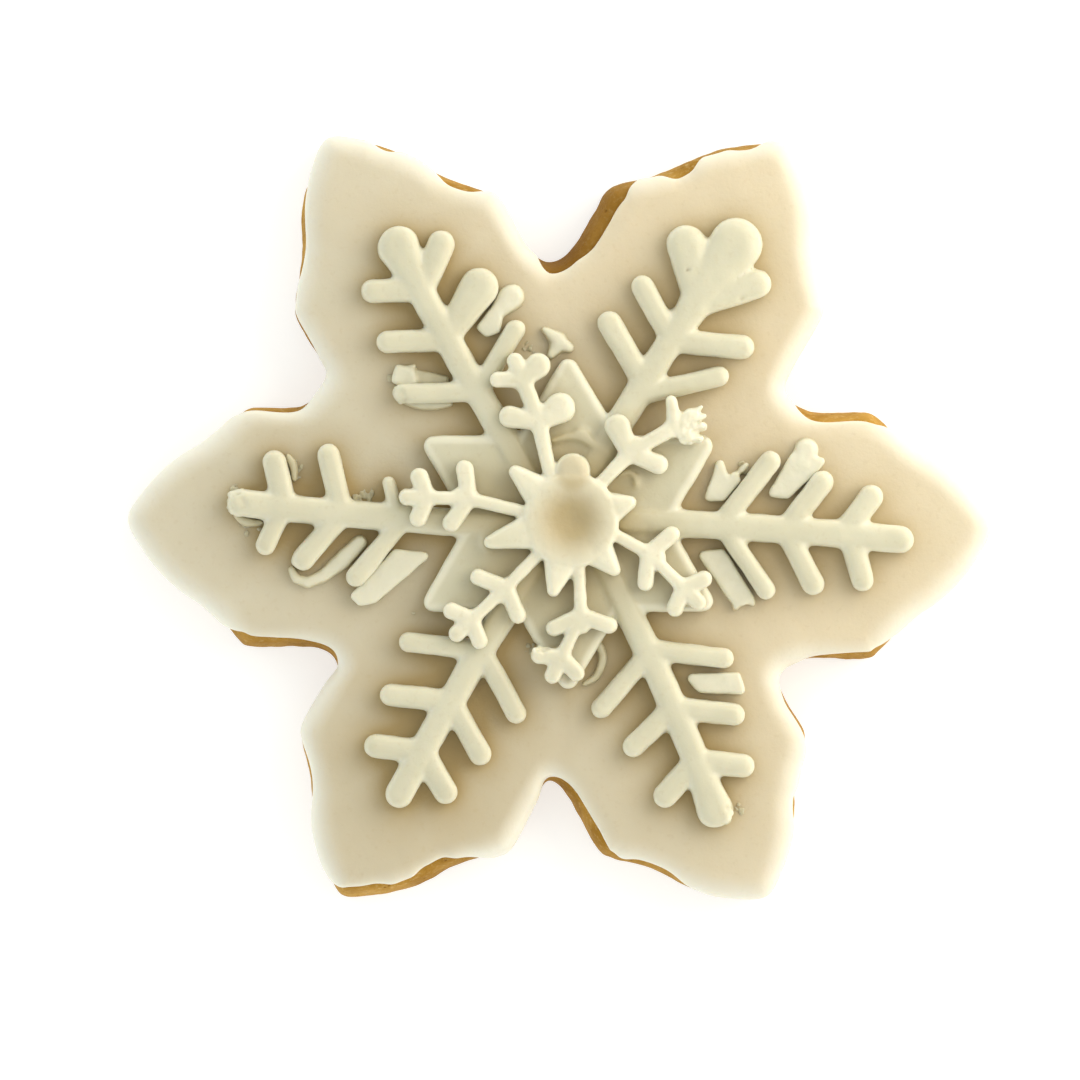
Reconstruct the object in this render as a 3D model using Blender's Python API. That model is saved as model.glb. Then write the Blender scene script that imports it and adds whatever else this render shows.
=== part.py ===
"""A snowflake dog biscuit: baked dough, a poured coating and two moulded snowflakes on top.

Every length below is in millimetres. Meshes are scaled to metres as they are made.
The biscuit lies flat on the ground plane, with +Z up and the middle of its outline at the origin.
Headings are in degrees, counterclockwise from +X.
"""

import math

import bmesh
import bpy
from mathutils import Vector

MM = 0.001
WELD = 0.00002

# Heights: the dough, the coating and the two moulded flakes, each a fit gap above the last
FIT_GAP = 0.3
BISCUIT_HEIGHT = 7.0
COATING_THICKNESS = 1.2
LARGE_FLAKE_HEIGHT = 2.4
PLATE_HEIGHT = 1.8
SMALL_FLAKE_HEIGHT = 1.3
HUB_HEIGHT = 1.9
COATING_BASE = BISCUIT_HEIGHT + FIT_GAP
COATING_TOP = COATING_BASE + COATING_THICKNESS
LARGE_FLAKE_BASE = COATING_TOP + FIT_GAP
SMALL_FLAKE_BASE = LARGE_FLAKE_BASE + LARGE_FLAKE_HEIGHT + FIT_GAP

# Arms of the biscuit: axis heading, reach, half width to the left and right, sideways lean of the tip
BISCUIT_ARMS = (
    (0, 45.3, 11.5, 14.9, -0.8),
    (60, 45.8, 13.1, 13.3, -0.7),
    (120, 46.6, 13.5, 11.5, 1.0),
    (180, 45.1, 13.6, 12.0, 0.0),
    (240, 45.7, 12.9, 12.6, 0.0),
    (300, 45.1, 11.4, 13.9, -0.9),
)
# Notch after each arm: heading and radius
NOTCHES = ((29, 27.3), (92, 27.2), (149, 28.6), (213, 27.9), (268, 27.6), (325, 28.4))
# Side of an arm from the notch to the tip: place along the arm, share of the arm's half width
ARM_SIDE = ((32.0, 1.0), (33.8, 0.93), (35.6, 0.79), (37.6, 0.66), (39.6, 0.56), (41.6, 0.43), (43.6, 0.25))
SHOULDER_PLACE = 33.0
NOTCH_RUN = 2.6
NOMINAL_REACH = 45.3
SAMPLES_PER_SPAN = 2

# Section of the biscuit's edge: offset from the outline and height
BISCUIT_SECTION = ((-0.85, 0.0), (-0.15, 0.9), (-0.35, 4.2), (-0.75, 6.0), (-1.35, BISCUIT_HEIGHT))

# Coating edge: the lip hangs over the dough's shoulder, and is drawn back along the bare stretches
LIP_DROP = 1.2
LIP_RUN = 0.8
LIP_START = -1.2
LIP_MIN_THICKNESS = 0.3
LIP_ROUND = 0.15
LIP_FADE = 1.1
LIP_WIDEST_SHARE = 0.35
EDGE_SECTION = ((0.3, 0.75), (0.95, 1.0))
# Bare stretches, where the coating stops short: from heading, to heading, depth
BARE_STRETCHES = (
    (14, 27, 1.4),
    (60, 80, 0.6),
    (61, 67, 0.9),
    (68, 75, 1.5),
    (76, 91, 2.3),
    (82, 98, 1.6),
    (101, 111, 1.0),
    (113, 117, 0.5),
    (124, 140, 0.6),
    (153, 164, 0.6),
    (198, 210, 1.8),
    (203, 215, 0.9),
    (217, 232, 0.4),
    (237, 263, 1.1),
    (238, 250, 1.6),
    (247, 256, 1.8),
    (265, 283, 1.4),
    (277, 292, 0.8),
    (307, 312, 0.4),
    (316, 325, 0.4),
    (328, 341, 1.1),
)
BARE_SOFT_SHARE = 0.4

# Broken bars that stuck to the coating between the large flake's branches: start, end, width, height
BAR_SINK = 0.5
STRAY_BARS = (
    ((15.9, 2.4), (17.0, 5.5), 1.7, 1.3),
    ((17.1, 3.0), (18.6, 5.1), 1.0, 1.25),
    ((22.9, 2.4), (25.9, 7.0), 2.1, 1.6),
    ((15.9, -3.8), (18.9, -9.0), 1.7, 1.3),
    ((-16.6, 15.4), (-15.6, 15.5), 1.3, 1.1),
    ((-7.4, 19.6), (-4.4, 23.0), 1.5, 1.5),
    ((-1.4, 19.6), (0.8, 18.0), 1.2, 1.2),
    ((0.8, 18.0), (-1.1, 17.1), 0.9, 1.15),
    ((-21.3, -2.6), (-22.9, -4.2), 1.3, 1.2),
    ((-22.9, -4.2), (-24.5, -5.9), 1.4, 1.15),
    ((-24.5, -5.9), (-27.0, -7.0), 1.2, 1.1),
    ((-14.6, -4.3), (-19.9, -8.4), 1.9, 1.5),
    ((14.0, -17.3), (18.6, -17.5), 1.9, 1.4),
)

# Large flake: a hexagram plate with six branched arms
PLATE_CENTRE = Vector((0.9, -0.6))
PLATE_REACH = 17.3
PLATE_CORNER_RADIUS = 1.1
ARM_WIDTH = 2.9
ARM_ROOT = 6.0
LEFT, RIGHT = 1, -1
# Arms: heading, reach, sideways shift at the root, lean of the left and right branches, their slide
LARGE_ARMS = {
    "e": (357.3, 34.7, 0.6, 55, 60, 0.2),
    "ne": (59.0, 34.0, 0.9, 60, 55, -0.4),
    "nw": (121.5, 33.9, 1.0, 60, 63, 0.4),
    "w": (176.4, 34.3, 0.6, 53, 73, 1.1),
    "sw": (238.0, 33.3, -0.8, 61, 64, -0.3),
    "se": (297.1, 33.6, 1.5, 56, 68, -0.4),
}
SHIFT_FADE_POWER = 3
# Places where a stem may bend, as shares of the reach
STEM_BENDS = (0.55, 0.8, 1.0)
# Branches from the root out: place along the arm, length and width
LARGE_BRANCHES = ((16.3, 7.6, 2.15), (22.5, 6.3, 2.4), (28.5, 4.9, 2.55))
# Branches that came out of the mould unlike the rest: place, length, width, width at the tip, lean
ODD_BRANCHES = {
    ("e", LEFT, 0): (15.9, 8.5, 2.2, 2.2, 55),
    ("e", RIGHT, 0): (16.1, 8.1, 2.0, 2.0, 53),
    ("e", RIGHT, 2): (29.5, 4.9, 2.4, 2.4, 72),
    ("ne", LEFT, 0): (16.7, 7.2, 2.4, 2.6, 61),
    ("ne", LEFT, 2): (27.1, 5.8, 3.0, 4.2, 43),
    ("ne", RIGHT, 0): (15.1, 8.9, 2.2, 2.2, 46),
    ("ne", RIGHT, 1): (21.9, 7.5, 2.5, 2.6, 64),
    ("ne", RIGHT, 2): (26.5, 6.8, 3.1, 3.1, 41),
    ("nw", RIGHT, 1): (23.2, 6.3, 2.6, 4.1, 64),
    ("nw", RIGHT, 2): (28.8, 5.3, 2.7, 2.9, 55),
    ("se", LEFT, 0): (15.4, 8.1, 2.2, 2.2, 56),
    ("se", RIGHT, 1): (22.1, 5.8, 2.4, 2.4, 73),
    ("w", RIGHT, 0): (17.8, 3.8, 1.4, 1.4, 72),
    ("w", LEFT, 0): (17.1, 7.9, 1.9, 2.2, 54),
    ("w", LEFT, 2): (29.8, 4.3, 2.1, 2.1, 68),
}
# Thickened arm ends: where the swelling starts, the width there and at the tip
SWOLLEN_TIPS = {"nw": (29.5, 2.9, 4.4), "ne": (25.0, 3.2, 5.6)}

# Small flake: a hub with six spikes and a shallow dish, and six fine arms of two branch pairs
HUB_CENTRE = Vector((1.2, -0.25))
HUB_RADIUS = 5.0
SPIKE_BASE_RADIUS = 2.3
SPIKE_TIP_RADIUS = 0.7
# Spikes: heading, reach
HUB_SPIKES = ((17, 7.1), (139, 8.4), (195, 9.4), (256, 8.2), (311, 7.5))
# The north spike is a blunt lobe
HUB_LOBE = (88, 7.0, 1.8)
DISH_RADIUS = 3.7
DISH_DEPTH = 0.7
FINE_ROOT = 4.0
FINE_STEM_WIDTH = 1.35
FINE_BRANCH_WIDTH = 1.75
FINE_TIP_RUN = 2.1
FINE_INNER_BRANCH = 3.1
FINE_OUTER_BRANCH = 2.3
FINE_LEAN = 68
# Fine arms: heading at the root, heading and radius of the first and of the second branching,
# and how much wider than the rest their branches end
FINE_ARMS = (
    (52, 49, 9.3, 42, 14.6, 1.35),
    (119, 108, 10.8, 109, 15.5, 1.5),
    (171, 168, 10.9, 171, 15.2, 1.1),
    (226, 226, 9.8, 225, 14.7, 1.0),
    (281, 276, 10.0, 266, 14.3, 1.0),
    (344, 337, 8.8, 329, 13.7, 1.0),
)

# Slabs, the moulded bars of both flakes: draft at the base, chamfer of the upper edge, end facets
DRAFT = 0.12
CHAMFER = 0.45
END_FACETS = 5
HUB_FACETS = 12
DISH_FACETS = 24
# The hub is a slab round two discs this far apart, which is as good as round
HUB_SPREAD = 0.02
# Neighbouring bars end this much lower than each other, so no two tops lie in one plane
HEIGHT_STEP = 0.03
STEM_STEP = 0.01

CRUST_COLOR = (0.42, 0.22, 0.06, 1.0)
COATING_COLOR = (0.72, 0.66, 0.50, 1.0)
LARGE_FLAKE_COLOR = (0.80, 0.75, 0.58, 1.0)
SMALL_FLAKE_COLOR = (0.84, 0.79, 0.62, 1.0)


def polar(heading, radius):
    """Point at a heading in degrees and a radius."""
    angle = math.radians(heading)
    return Vector((radius * math.cos(angle), radius * math.sin(angle)))


def turned(point, heading):
    """Point of an arm that lies along +X, turned to its heading."""
    angle = math.radians(heading)
    return Vector((
        point[0] * math.cos(angle) - point[1] * math.sin(angle),
        point[0] * math.sin(angle) + point[1] * math.cos(angle),
    ))


def arm_points(arm, notch_before, notch_after):
    """Control points of one biscuit arm, from just past one notch to the next notch."""
    axis, reach, left_width, right_width, lean = arm
    stretch = (reach - SHOULDER_PLACE) / (NOMINAL_REACH - SHOULDER_PLACE)

    def side_point(place, across):
        beyond = max(0.0, place - SHOULDER_PLACE)
        drift = lean * beyond / (NOMINAL_REACH - SHOULDER_PLACE)
        return turned((place + beyond * (stretch - 1.0), across + drift), axis)

    start_right = turned(polar(*notch_before), -axis)[0] + NOTCH_RUN
    start_left = turned(polar(*notch_after), -axis)[0] + NOTCH_RUN
    points = [side_point(start_right, -right_width)]
    points += [side_point(place, -share * right_width) for place, share in ARM_SIDE]
    points.append(side_point(NOMINAL_REACH, 0.0))
    points += [side_point(place, share * left_width) for place, share in reversed(ARM_SIDE)]
    points.append(side_point(start_left, left_width))
    points.append(polar(*notch_after))
    return points


def smooth_loop(points, samples):
    """Closed Catmull-Rom curve through the points."""
    count = len(points)
    curve = []
    for index in range(count):
        before, start, end, after = (points[(index + step) % count] for step in (-1, 0, 1, 2))
        for sample in range(samples):
            t = sample / samples
            curve.append(0.5 * (
                2.0 * start
                + (end - before) * t
                + (2.0 * before - 5.0 * start + 4.0 * end - after) * t * t
                + (3.0 * start - before - 3.0 * end + after) * t * t * t
            ))
    return curve


def biscuit_outline():
    """Outline of the whole biscuit seen from above, centred on its own box."""
    points = []
    for index, arm in enumerate(BISCUIT_ARMS):
        points += arm_points(arm, NOTCHES[index - 1], NOTCHES[index])
    outline = smooth_loop(points, SAMPLES_PER_SPAN)
    low = Vector((min(point.x for point in outline), min(point.y for point in outline)))
    high = Vector((max(point.x for point in outline), max(point.y for point in outline)))
    return [point - (low + high) / 2.0 for point in outline]


def outward_normals(outline):
    """Unit normals of a closed counterclockwise outline."""
    count = len(outline)
    normals = []
    for index in range(count):
        along = outline[(index + 1) % count] - outline[index - 1]
        normals.append(Vector((along.y, -along.x)).normalized())
    return normals


def smoothstep(value):
    """Soft step from 0 to 1."""
    value = min(1.0, max(0.0, value))
    return value * value * (3.0 - 2.0 * value)


def bare_depth(point):
    """How far the coating stops short of the outline at a point of it."""
    heading = math.degrees(math.atan2(point.y, point.x)) % 360.0
    depth = 0.0
    for start, end, deepest in BARE_STRETCHES:
        soft = BARE_SOFT_SHARE * (end - start)
        share = smoothstep((heading - start) / soft) * smoothstep((end - heading) / soft)
        depth = max(depth, deepest * share)
    return depth


def loft(name, rings):
    """Closed body through rings of equally many points, counterclockwise from the bottom up."""
    mesh = bpy.data.meshes.new(name)
    bm = bmesh.new()
    vert_rings = [[bm.verts.new((x * MM, y * MM, z * MM)) for x, y, z in ring] for ring in rings]
    count = len(rings[0])
    bm.faces.new(reversed(vert_rings[0]))
    bm.faces.new(vert_rings[-1])
    for lower, upper in zip(vert_rings, vert_rings[1:]):
        for index in range(count):
            following = (index + 1) % count
            bm.faces.new((lower[index], lower[following], upper[following], upper[index]))
    bmesh.ops.remove_doubles(bm, verts=bm.verts, dist=WELD)
    bmesh.ops.triangulate(bm, faces=bm.faces)
    bm.to_mesh(mesh)
    bm.free()
    return bpy.data.objects.new(name, mesh)


def make_biscuit(outline, normals):
    """Baked dough: a thick slab with a rounded foot, sloping sides and a soft shoulder."""
    rings = []
    for offset, height in BISCUIT_SECTION:
        ring = [point + normal * offset for point, normal in zip(outline, normals)]
        rings.append([(point.x, point.y, height) for point in ring])
    return loft("biscuit", rings)


def coating_edge(depth):
    """Section of the coating's edge, from the underside out and up: offsets and heights."""
    hang = max(0.0, 1.0 - depth / LIP_FADE)
    under = min(LIP_START, -depth - LIP_MIN_THICKNESS)
    lip = min(LIP_START + hang * LIP_RUN, -depth - LIP_MIN_THICKNESS)
    lip_height = COATING_BASE - hang * LIP_DROP
    widest_height = lip_height + COATING_THICKNESS * LIP_WIDEST_SHARE
    section = [
        (under, COATING_BASE),
        (lip, lip_height),
        (-depth - LIP_ROUND, lip_height),
        (-depth, widest_height),
    ]
    section += [(-depth - inset, COATING_BASE + rise * COATING_THICKNESS) for inset, rise in EDGE_SECTION]
    return section


def make_coating(outline, normals):
    """Poured coating: a flat layer whose lip hangs over the dough's shoulder, with stray bars on it."""
    sections = [coating_edge(bare_depth(point)) for point in outline]
    rings = []
    for level in range(len(sections[0])):
        ring = []
        for point, normal, section in zip(outline, normals, sections):
            offset, height = section[level]
            place = point + normal * offset
            ring.append((place.x, place.y, height))
        rings.append(ring)
    pieces = [loft("coating", rings)]
    for start, end, width, height in STRAY_BARS:
        discs = ((Vector(start), width / 2.0), (Vector(end), width / 2.0))
        pieces.append(make_slab("stray_bar", discs, COATING_TOP - BAR_SINK, BAR_SINK + height))
    return fuse("coating", pieces)


def rounded_ring(discs, inset, height, facets):
    """Ring round two or more discs, given counterclockwise as centres with radii."""
    count = len(discs)
    ring = []
    for index, (centre, radius) in enumerate(discs):
        arriving = centre - discs[index - 1][0]
        leaving = discs[(index + 1) % count][0] - centre
        start = math.atan2(-arriving.x, arriving.y)
        end = math.atan2(-leaving.x, leaving.y)
        sweep = (end - start) % (2.0 * math.pi)
        for step in range(facets + 1):
            angle = start + sweep * step / facets
            reach = radius - inset
            ring.append((centre.x + reach * math.cos(angle), centre.y + reach * math.sin(angle), height))
    return ring


def make_slab(name, discs, base, height, facets=END_FACETS):
    """Moulded bar or plate: the outline round its discs, with draft and a chamfered upper edge."""
    rings = [
        rounded_ring(discs, -DRAFT, base, facets),
        rounded_ring(discs, 0.0, base + height - CHAMFER, facets),
        rounded_ring(discs, CHAMFER, base + height, facets),
    ]
    return loft(name, rings)


def fuse(name, pieces):
    """One closed body from overlapping pieces."""
    base = pieces[0]
    base.name = name
    bpy.context.scene.collection.objects.link(base)
    others = bpy.data.collections.new(name + "_pieces")
    bpy.context.scene.collection.children.link(others)
    for piece in pieces[1:]:
        others.objects.link(piece)
    join = base.modifiers.new("Fuse", "BOOLEAN")
    join.operation = "UNION"
    join.operand_type = "COLLECTION"
    join.collection = others
    join.solver = "EXACT"
    return apply_modifiers(base, others)


def apply_modifiers(target, helpers):
    """Bake the modifiers of an object into its mesh, and remove the collection of helpers."""
    evaluated = target.evaluated_get(bpy.context.evaluated_depsgraph_get())
    mesh = bpy.data.meshes.new_from_object(evaluated)
    target.modifiers.clear()
    target.data = mesh
    mesh.name = target.name
    for helper in list(helpers.objects):
        bpy.data.objects.remove(helper)
    bpy.data.collections.remove(helpers)
    bm = bmesh.new()
    bm.from_mesh(mesh)
    bmesh.ops.remove_doubles(bm, verts=bm.verts, dist=WELD)
    bmesh.ops.triangulate(bm, faces=bm.faces)
    bm.to_mesh(mesh)
    bm.free()
    bpy.context.scene.collection.objects.unlink(target)
    return target


def large_arm_point(arm, place):
    """Point on the middle line of a large arm, whose sideways shift fades out towards the tip."""
    heading, reach, shift = LARGE_ARMS[arm][:3]
    fading = shift * (1.0 - min(1.0, place / reach) ** SHIFT_FADE_POWER)
    return PLATE_CENTRE + turned((place, fading), heading)


def large_branch(arm, side, row):
    """Place, length, width, width at the tip and lean of a branch of the large flake."""
    if (arm, side, row) in ODD_BRANCHES:
        return ODD_BRANCHES[arm, side, row]
    place, length, width = LARGE_BRANCHES[row]
    left_lean, right_lean, slide = LARGE_ARMS[arm][3:]
    return place + slide, length, width, width, left_lean if side == LEFT else right_lean


def branch_discs(arm, side, place, length, lean, width, tip_width):
    """Discs of a branch that starts on the arm's middle line."""
    root = large_arm_point(arm, place)
    heading = LARGE_ARMS[arm][0] + side * lean
    return ((root, width / 2.0), (root + polar(heading, length), tip_width / 2.0))


def large_bar(discs, drop):
    """One bar of the large flake, its top lower than the arms' by the drop."""
    return make_slab("bar", discs, LARGE_FLAKE_BASE, LARGE_FLAKE_HEIGHT - drop)


def make_plate():
    """Two crossed triangles with rounded corners, which make a hexagram."""
    triangles = []
    for turn in (30, 90):
        corner_reach = PLATE_REACH - PLATE_CORNER_RADIUS
        corners = [PLATE_CENTRE + polar(turn + 120 * corner, corner_reach) for corner in range(3)]
        discs = [(corner, PLATE_CORNER_RADIUS) for corner in corners]
        height = PLATE_HEIGHT - HEIGHT_STEP * len(triangles)
        triangles.append(make_slab("plate", discs, LARGE_FLAKE_BASE, height))
    return triangles


def make_large_arm(arm):
    """Stem of a large arm, in short straight stretches, with its branches."""
    reach = LARGE_ARMS[arm][1]
    places = [ARM_ROOT] + [share * reach for share in STEM_BENDS]
    bars = []
    for index, (start, end) in enumerate(zip(places, places[1:])):
        discs = [(large_arm_point(arm, place), ARM_WIDTH / 2.0) for place in (start, end)]
        bars.append(large_bar(discs, STEM_STEP * index))
    for row in range(len(LARGE_BRANCHES)):
        for side in (LEFT, RIGHT):
            place, length, width, tip_width, lean = large_branch(arm, side, row)
            discs = branch_discs(arm, side, place, length, lean, width, tip_width)
            drop = HEIGHT_STEP * (1 + row) + STEM_STEP * (side == RIGHT)
            bars.append(large_bar(discs, drop))
    if arm in SWOLLEN_TIPS:
        place, width, tip_width = SWOLLEN_TIPS[arm]
        discs = ((large_arm_point(arm, place), width / 2.0), (large_arm_point(arm, reach), tip_width / 2.0))
        bars.append(large_bar(discs, -HEIGHT_STEP))
    return bars


def make_large_flake():
    """Large moulded snowflake: a hexagram plate and six arms with three pairs of branches."""
    pieces = make_plate()
    for arm in LARGE_ARMS:
        pieces += make_large_arm(arm)
    return fuse("large_flake", pieces)


def fine_bar(start, end, width, height, swell=1.0):
    """One bar of the small flake between two points given from its hub."""
    discs = ((HUB_CENTRE + start, width / 2.0), (HUB_CENTRE + end, swell * width / 2.0))
    return make_slab("fine_bar", discs, SMALL_FLAKE_BASE, height)


def fine_arm(root_heading, first_heading, first_radius, second_heading, second_radius, swell):
    """Bars of one fine arm: three stretches of stem and two pairs of branches."""
    root = polar(root_heading, FINE_ROOT)
    first = polar(first_heading, first_radius)
    second = polar(second_heading, second_radius)
    outward = (second - first).normalized()
    height = SMALL_FLAKE_HEIGHT
    bars = [
        fine_bar(root, first, FINE_STEM_WIDTH, height),
        fine_bar(first, second, FINE_STEM_WIDTH, height - HEIGHT_STEP),
        fine_bar(second, second + outward * FINE_TIP_RUN, FINE_BRANCH_WIDTH, height - 2 * HEIGHT_STEP),
    ]
    forks = ((first, first - root, FINE_INNER_BRANCH), (second, second - first, FINE_OUTER_BRANCH))
    for index, (fork, direction, length) in enumerate(forks):
        heading = math.degrees(math.atan2(direction.y, direction.x))
        for side in (LEFT, RIGHT):
            end = fork + polar(heading + side * FINE_LEAN, length)
            drop = HEIGHT_STEP * (3 + 2 * index + (side == RIGHT))
            bars.append(fine_bar(fork, end, FINE_BRANCH_WIDTH, height - drop, swell))
    return bars


def cut_dish(hub):
    """Shallow round hollow in the middle of the hub."""
    sphere_radius = (DISH_RADIUS ** 2 + DISH_DEPTH ** 2) / (2.0 * DISH_DEPTH)
    centre = Vector((HUB_CENTRE.x, HUB_CENTRE.y, SMALL_FLAKE_BASE + HUB_HEIGHT - DISH_DEPTH + sphere_radius))
    mesh = bpy.data.meshes.new("dish")
    bm = bmesh.new()
    bmesh.ops.create_uvsphere(bm, u_segments=DISH_FACETS, v_segments=DISH_FACETS, radius=sphere_radius * MM)
    bmesh.ops.translate(bm, verts=bm.verts, vec=centre * MM)
    bm.to_mesh(mesh)
    bm.free()
    dish = bpy.data.objects.new("dish", mesh)
    cutters = bpy.data.collections.new("cutters")
    bpy.context.scene.collection.children.link(cutters)
    cutters.objects.link(dish)
    bpy.context.scene.collection.objects.link(hub)
    cut = hub.modifiers.new("Dish", "BOOLEAN")
    cut.operation = "DIFFERENCE"
    cut.object = dish
    cut.solver = "EXACT"
    return apply_modifiers(hub, cutters)


def make_small_flake():
    """Small moulded snowflake: a spiked hub with a dish, and six fine branched arms."""
    step = Vector((HUB_SPREAD / 2.0, 0.0))
    hub_discs = ((HUB_CENTRE - step, HUB_RADIUS), (HUB_CENTRE + step, HUB_RADIUS))
    pieces = [make_slab("small_flake", hub_discs, SMALL_FLAKE_BASE, HUB_HEIGHT, HUB_FACETS)]
    spikes = [(heading, reach, SPIKE_TIP_RADIUS) for heading, reach in HUB_SPIKES] + [HUB_LOBE]
    for index, (heading, reach, tip_radius) in enumerate(spikes):
        base_radius = max(SPIKE_BASE_RADIUS, tip_radius)
        discs = (
            (HUB_CENTRE + polar(heading, HUB_RADIUS - base_radius), base_radius),
            (HUB_CENTRE + polar(heading, reach - tip_radius), tip_radius),
        )
        height = HUB_HEIGHT - HEIGHT_STEP * (1 + index)
        pieces.append(make_slab("spike", discs, SMALL_FLAKE_BASE, height))
    for arm in FINE_ARMS:
        pieces += fine_arm(*arm)
    return cut_dish(fuse("small_flake", pieces))


def make_material(name, color, roughness):
    """Plain surface colour of one piece."""
    material = bpy.data.materials.new(name)
    material.use_nodes = True
    shader = material.node_tree.nodes["Principled BSDF"]
    shader.inputs["Base Color"].default_value = color
    shader.inputs["Roughness"].default_value = roughness
    shader.inputs["Metallic"].default_value = 0.0
    material.diffuse_color = color
    return material


def clear_scene():
    """Remove the objects that the file opens with."""
    for item in list(bpy.data.objects):
        bpy.data.objects.remove(item)


def main():
    clear_scene()
    outline = biscuit_outline()
    normals = outward_normals(outline)
    parts = (
        (make_biscuit(outline, normals), "baked_crust", CRUST_COLOR, 0.8),
        (make_coating(outline, normals), "poured_coating", COATING_COLOR, 0.4),
        (make_large_flake(), "moulded_large_flake", LARGE_FLAKE_COLOR, 0.45),
        (make_small_flake(), "moulded_small_flake", SMALL_FLAKE_COLOR, 0.45),
    )
    collection = bpy.data.collections.new("snowflake_dog_biscuit")
    bpy.context.scene.collection.children.link(collection)
    for item, material_name, color, roughness in parts:
        item.data.materials.clear()
        item.data.materials.append(make_material(material_name, color, roughness))
        collection.objects.link(item)


main()
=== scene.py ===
"""Dressed model of a snowflake dog biscuit: baked dough, poured coating and two moulded snowflakes.

The tables below are in millimetres, with headings in degrees counterclockwise from +X.
Meshes are scaled to metres as they are made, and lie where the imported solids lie.
"""

import math

import bmesh
import bpy
import numpy as np
from bpy.props import FloatProperty, FloatVectorProperty, IntProperty, PointerProperty
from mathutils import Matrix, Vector, noise


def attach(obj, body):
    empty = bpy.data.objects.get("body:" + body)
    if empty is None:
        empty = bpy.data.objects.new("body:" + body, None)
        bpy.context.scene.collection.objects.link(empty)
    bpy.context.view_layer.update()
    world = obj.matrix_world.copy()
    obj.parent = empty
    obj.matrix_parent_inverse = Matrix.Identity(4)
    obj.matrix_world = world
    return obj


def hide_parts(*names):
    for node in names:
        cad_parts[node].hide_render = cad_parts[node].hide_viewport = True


bl_info = {
    "name": "Snowflake dog biscuit",
    "version": (1, 0, 0),
    "blender": (4, 5, 0),
    "location": "View3D > Sidebar > Dog biscuit",
    "description": "Makes a coated snowflake dog biscuit with two moulded snowflakes on top",
    "category": "Object",
}

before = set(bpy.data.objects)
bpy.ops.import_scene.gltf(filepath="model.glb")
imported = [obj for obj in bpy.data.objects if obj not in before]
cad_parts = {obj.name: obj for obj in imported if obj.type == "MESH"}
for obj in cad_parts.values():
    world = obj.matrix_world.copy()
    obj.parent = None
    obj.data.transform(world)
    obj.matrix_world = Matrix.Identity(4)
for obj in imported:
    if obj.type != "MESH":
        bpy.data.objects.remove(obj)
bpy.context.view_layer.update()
MM = 0.001
BODY = "root"
LEFT, RIGHT = 1, -1

# Arms of the biscuit: axis heading, reach, half width to the left and right, sideways lean of the tip
BISCUIT_ARMS = (
    (0, 45.3, 11.5, 14.9, -0.8),
    (60, 45.8, 13.1, 13.3, -0.7),
    (120, 46.6, 13.5, 11.5, 1.0),
    (180, 45.1, 13.6, 12.0, 0.0),
    (240, 45.7, 12.9, 12.6, 0.0),
    (300, 45.1, 11.4, 13.9, -0.9),
)
# Notch after each arm: heading and radius
NOTCHES = ((29, 27.3), (92, 27.2), (149, 28.6), (213, 27.9), (268, 27.6), (325, 28.4))
# Side of an arm from the notch to the tip: place along the arm, share of the arm's half width
ARM_SIDE = ((32.0, 1.0), (33.8, 0.93), (35.6, 0.79), (37.6, 0.66), (39.6, 0.56), (41.6, 0.43), (43.6, 0.25))
SHOULDER_PLACE = 33.0
NOTCH_RUN = 2.6
NOMINAL_REACH = 45.3
SAMPLES_PER_SPAN = 12
# Most that the lumps swell the dough's wall, height of its hidden top, steps over the coating's lip and
# rings from there to the middle
LUMP_LIMIT = 0.1
DOUGH_TOP = 7.15
LIP_STEPS = 12
INNER_RINGS = 56

# Section of the dough's edge from the underside up: offset from the outline and height
DOUGH_SECTION = (
    (-0.95, 0.0), (-0.6, 0.12), (-0.3, 0.45), (-0.15, 0.95), (-0.12, 1.6), (-0.16, 2.4), (-0.24, 3.2),
    (-0.35, 4.1), (-0.48, 4.9), (-0.66, 5.6), (-0.88, 6.2), (-1.2, 6.7), (-1.65, 7.0), (-2.3, 7.12),
)
# Bare stretches, where the coating stops short: from heading, to heading, depth
BARE_STRETCHES = (
    (14, 27, 1.4), (60, 80, 0.6), (61, 67, 0.9), (68, 75, 1.5), (76, 91, 2.3), (82, 98, 1.6),
    (101, 111, 1.0), (113, 117, 0.5), (123, 141, 0.6), (135, 151, 0.4), (153, 164, 0.6), (197, 210, 1.3),
    (203, 215, 0.9), (217, 232, 0.4), (237, 263, 1.1), (236, 250, 1.5), (247, 256, 1.8), (265, 283, 1.4),
    (277, 292, 0.8), (307, 312, 0.4), (316, 325, 0.4), (328, 342, 0.9),
)
BARE_SOFT_SHARE = 0.4
BARE_BLUR = 0.7
# Length of edge over which deep insets average their direction
SOFT_NORMAL_REACH = 5.0
# Places where the coating ran down the wall: heading, half its width in degrees, extra drop, bulge
DRIPS = ((260, 5.5, 1.6, 0.35), (95, 3.0, 0.7, 0.12), (34, 4.0, 0.8, 0.1))
COATING_FOOT = 7.0
COATING_TOP = 8.5
LIP_DROP = 1.2
LIP_FADE = 1.1

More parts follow.
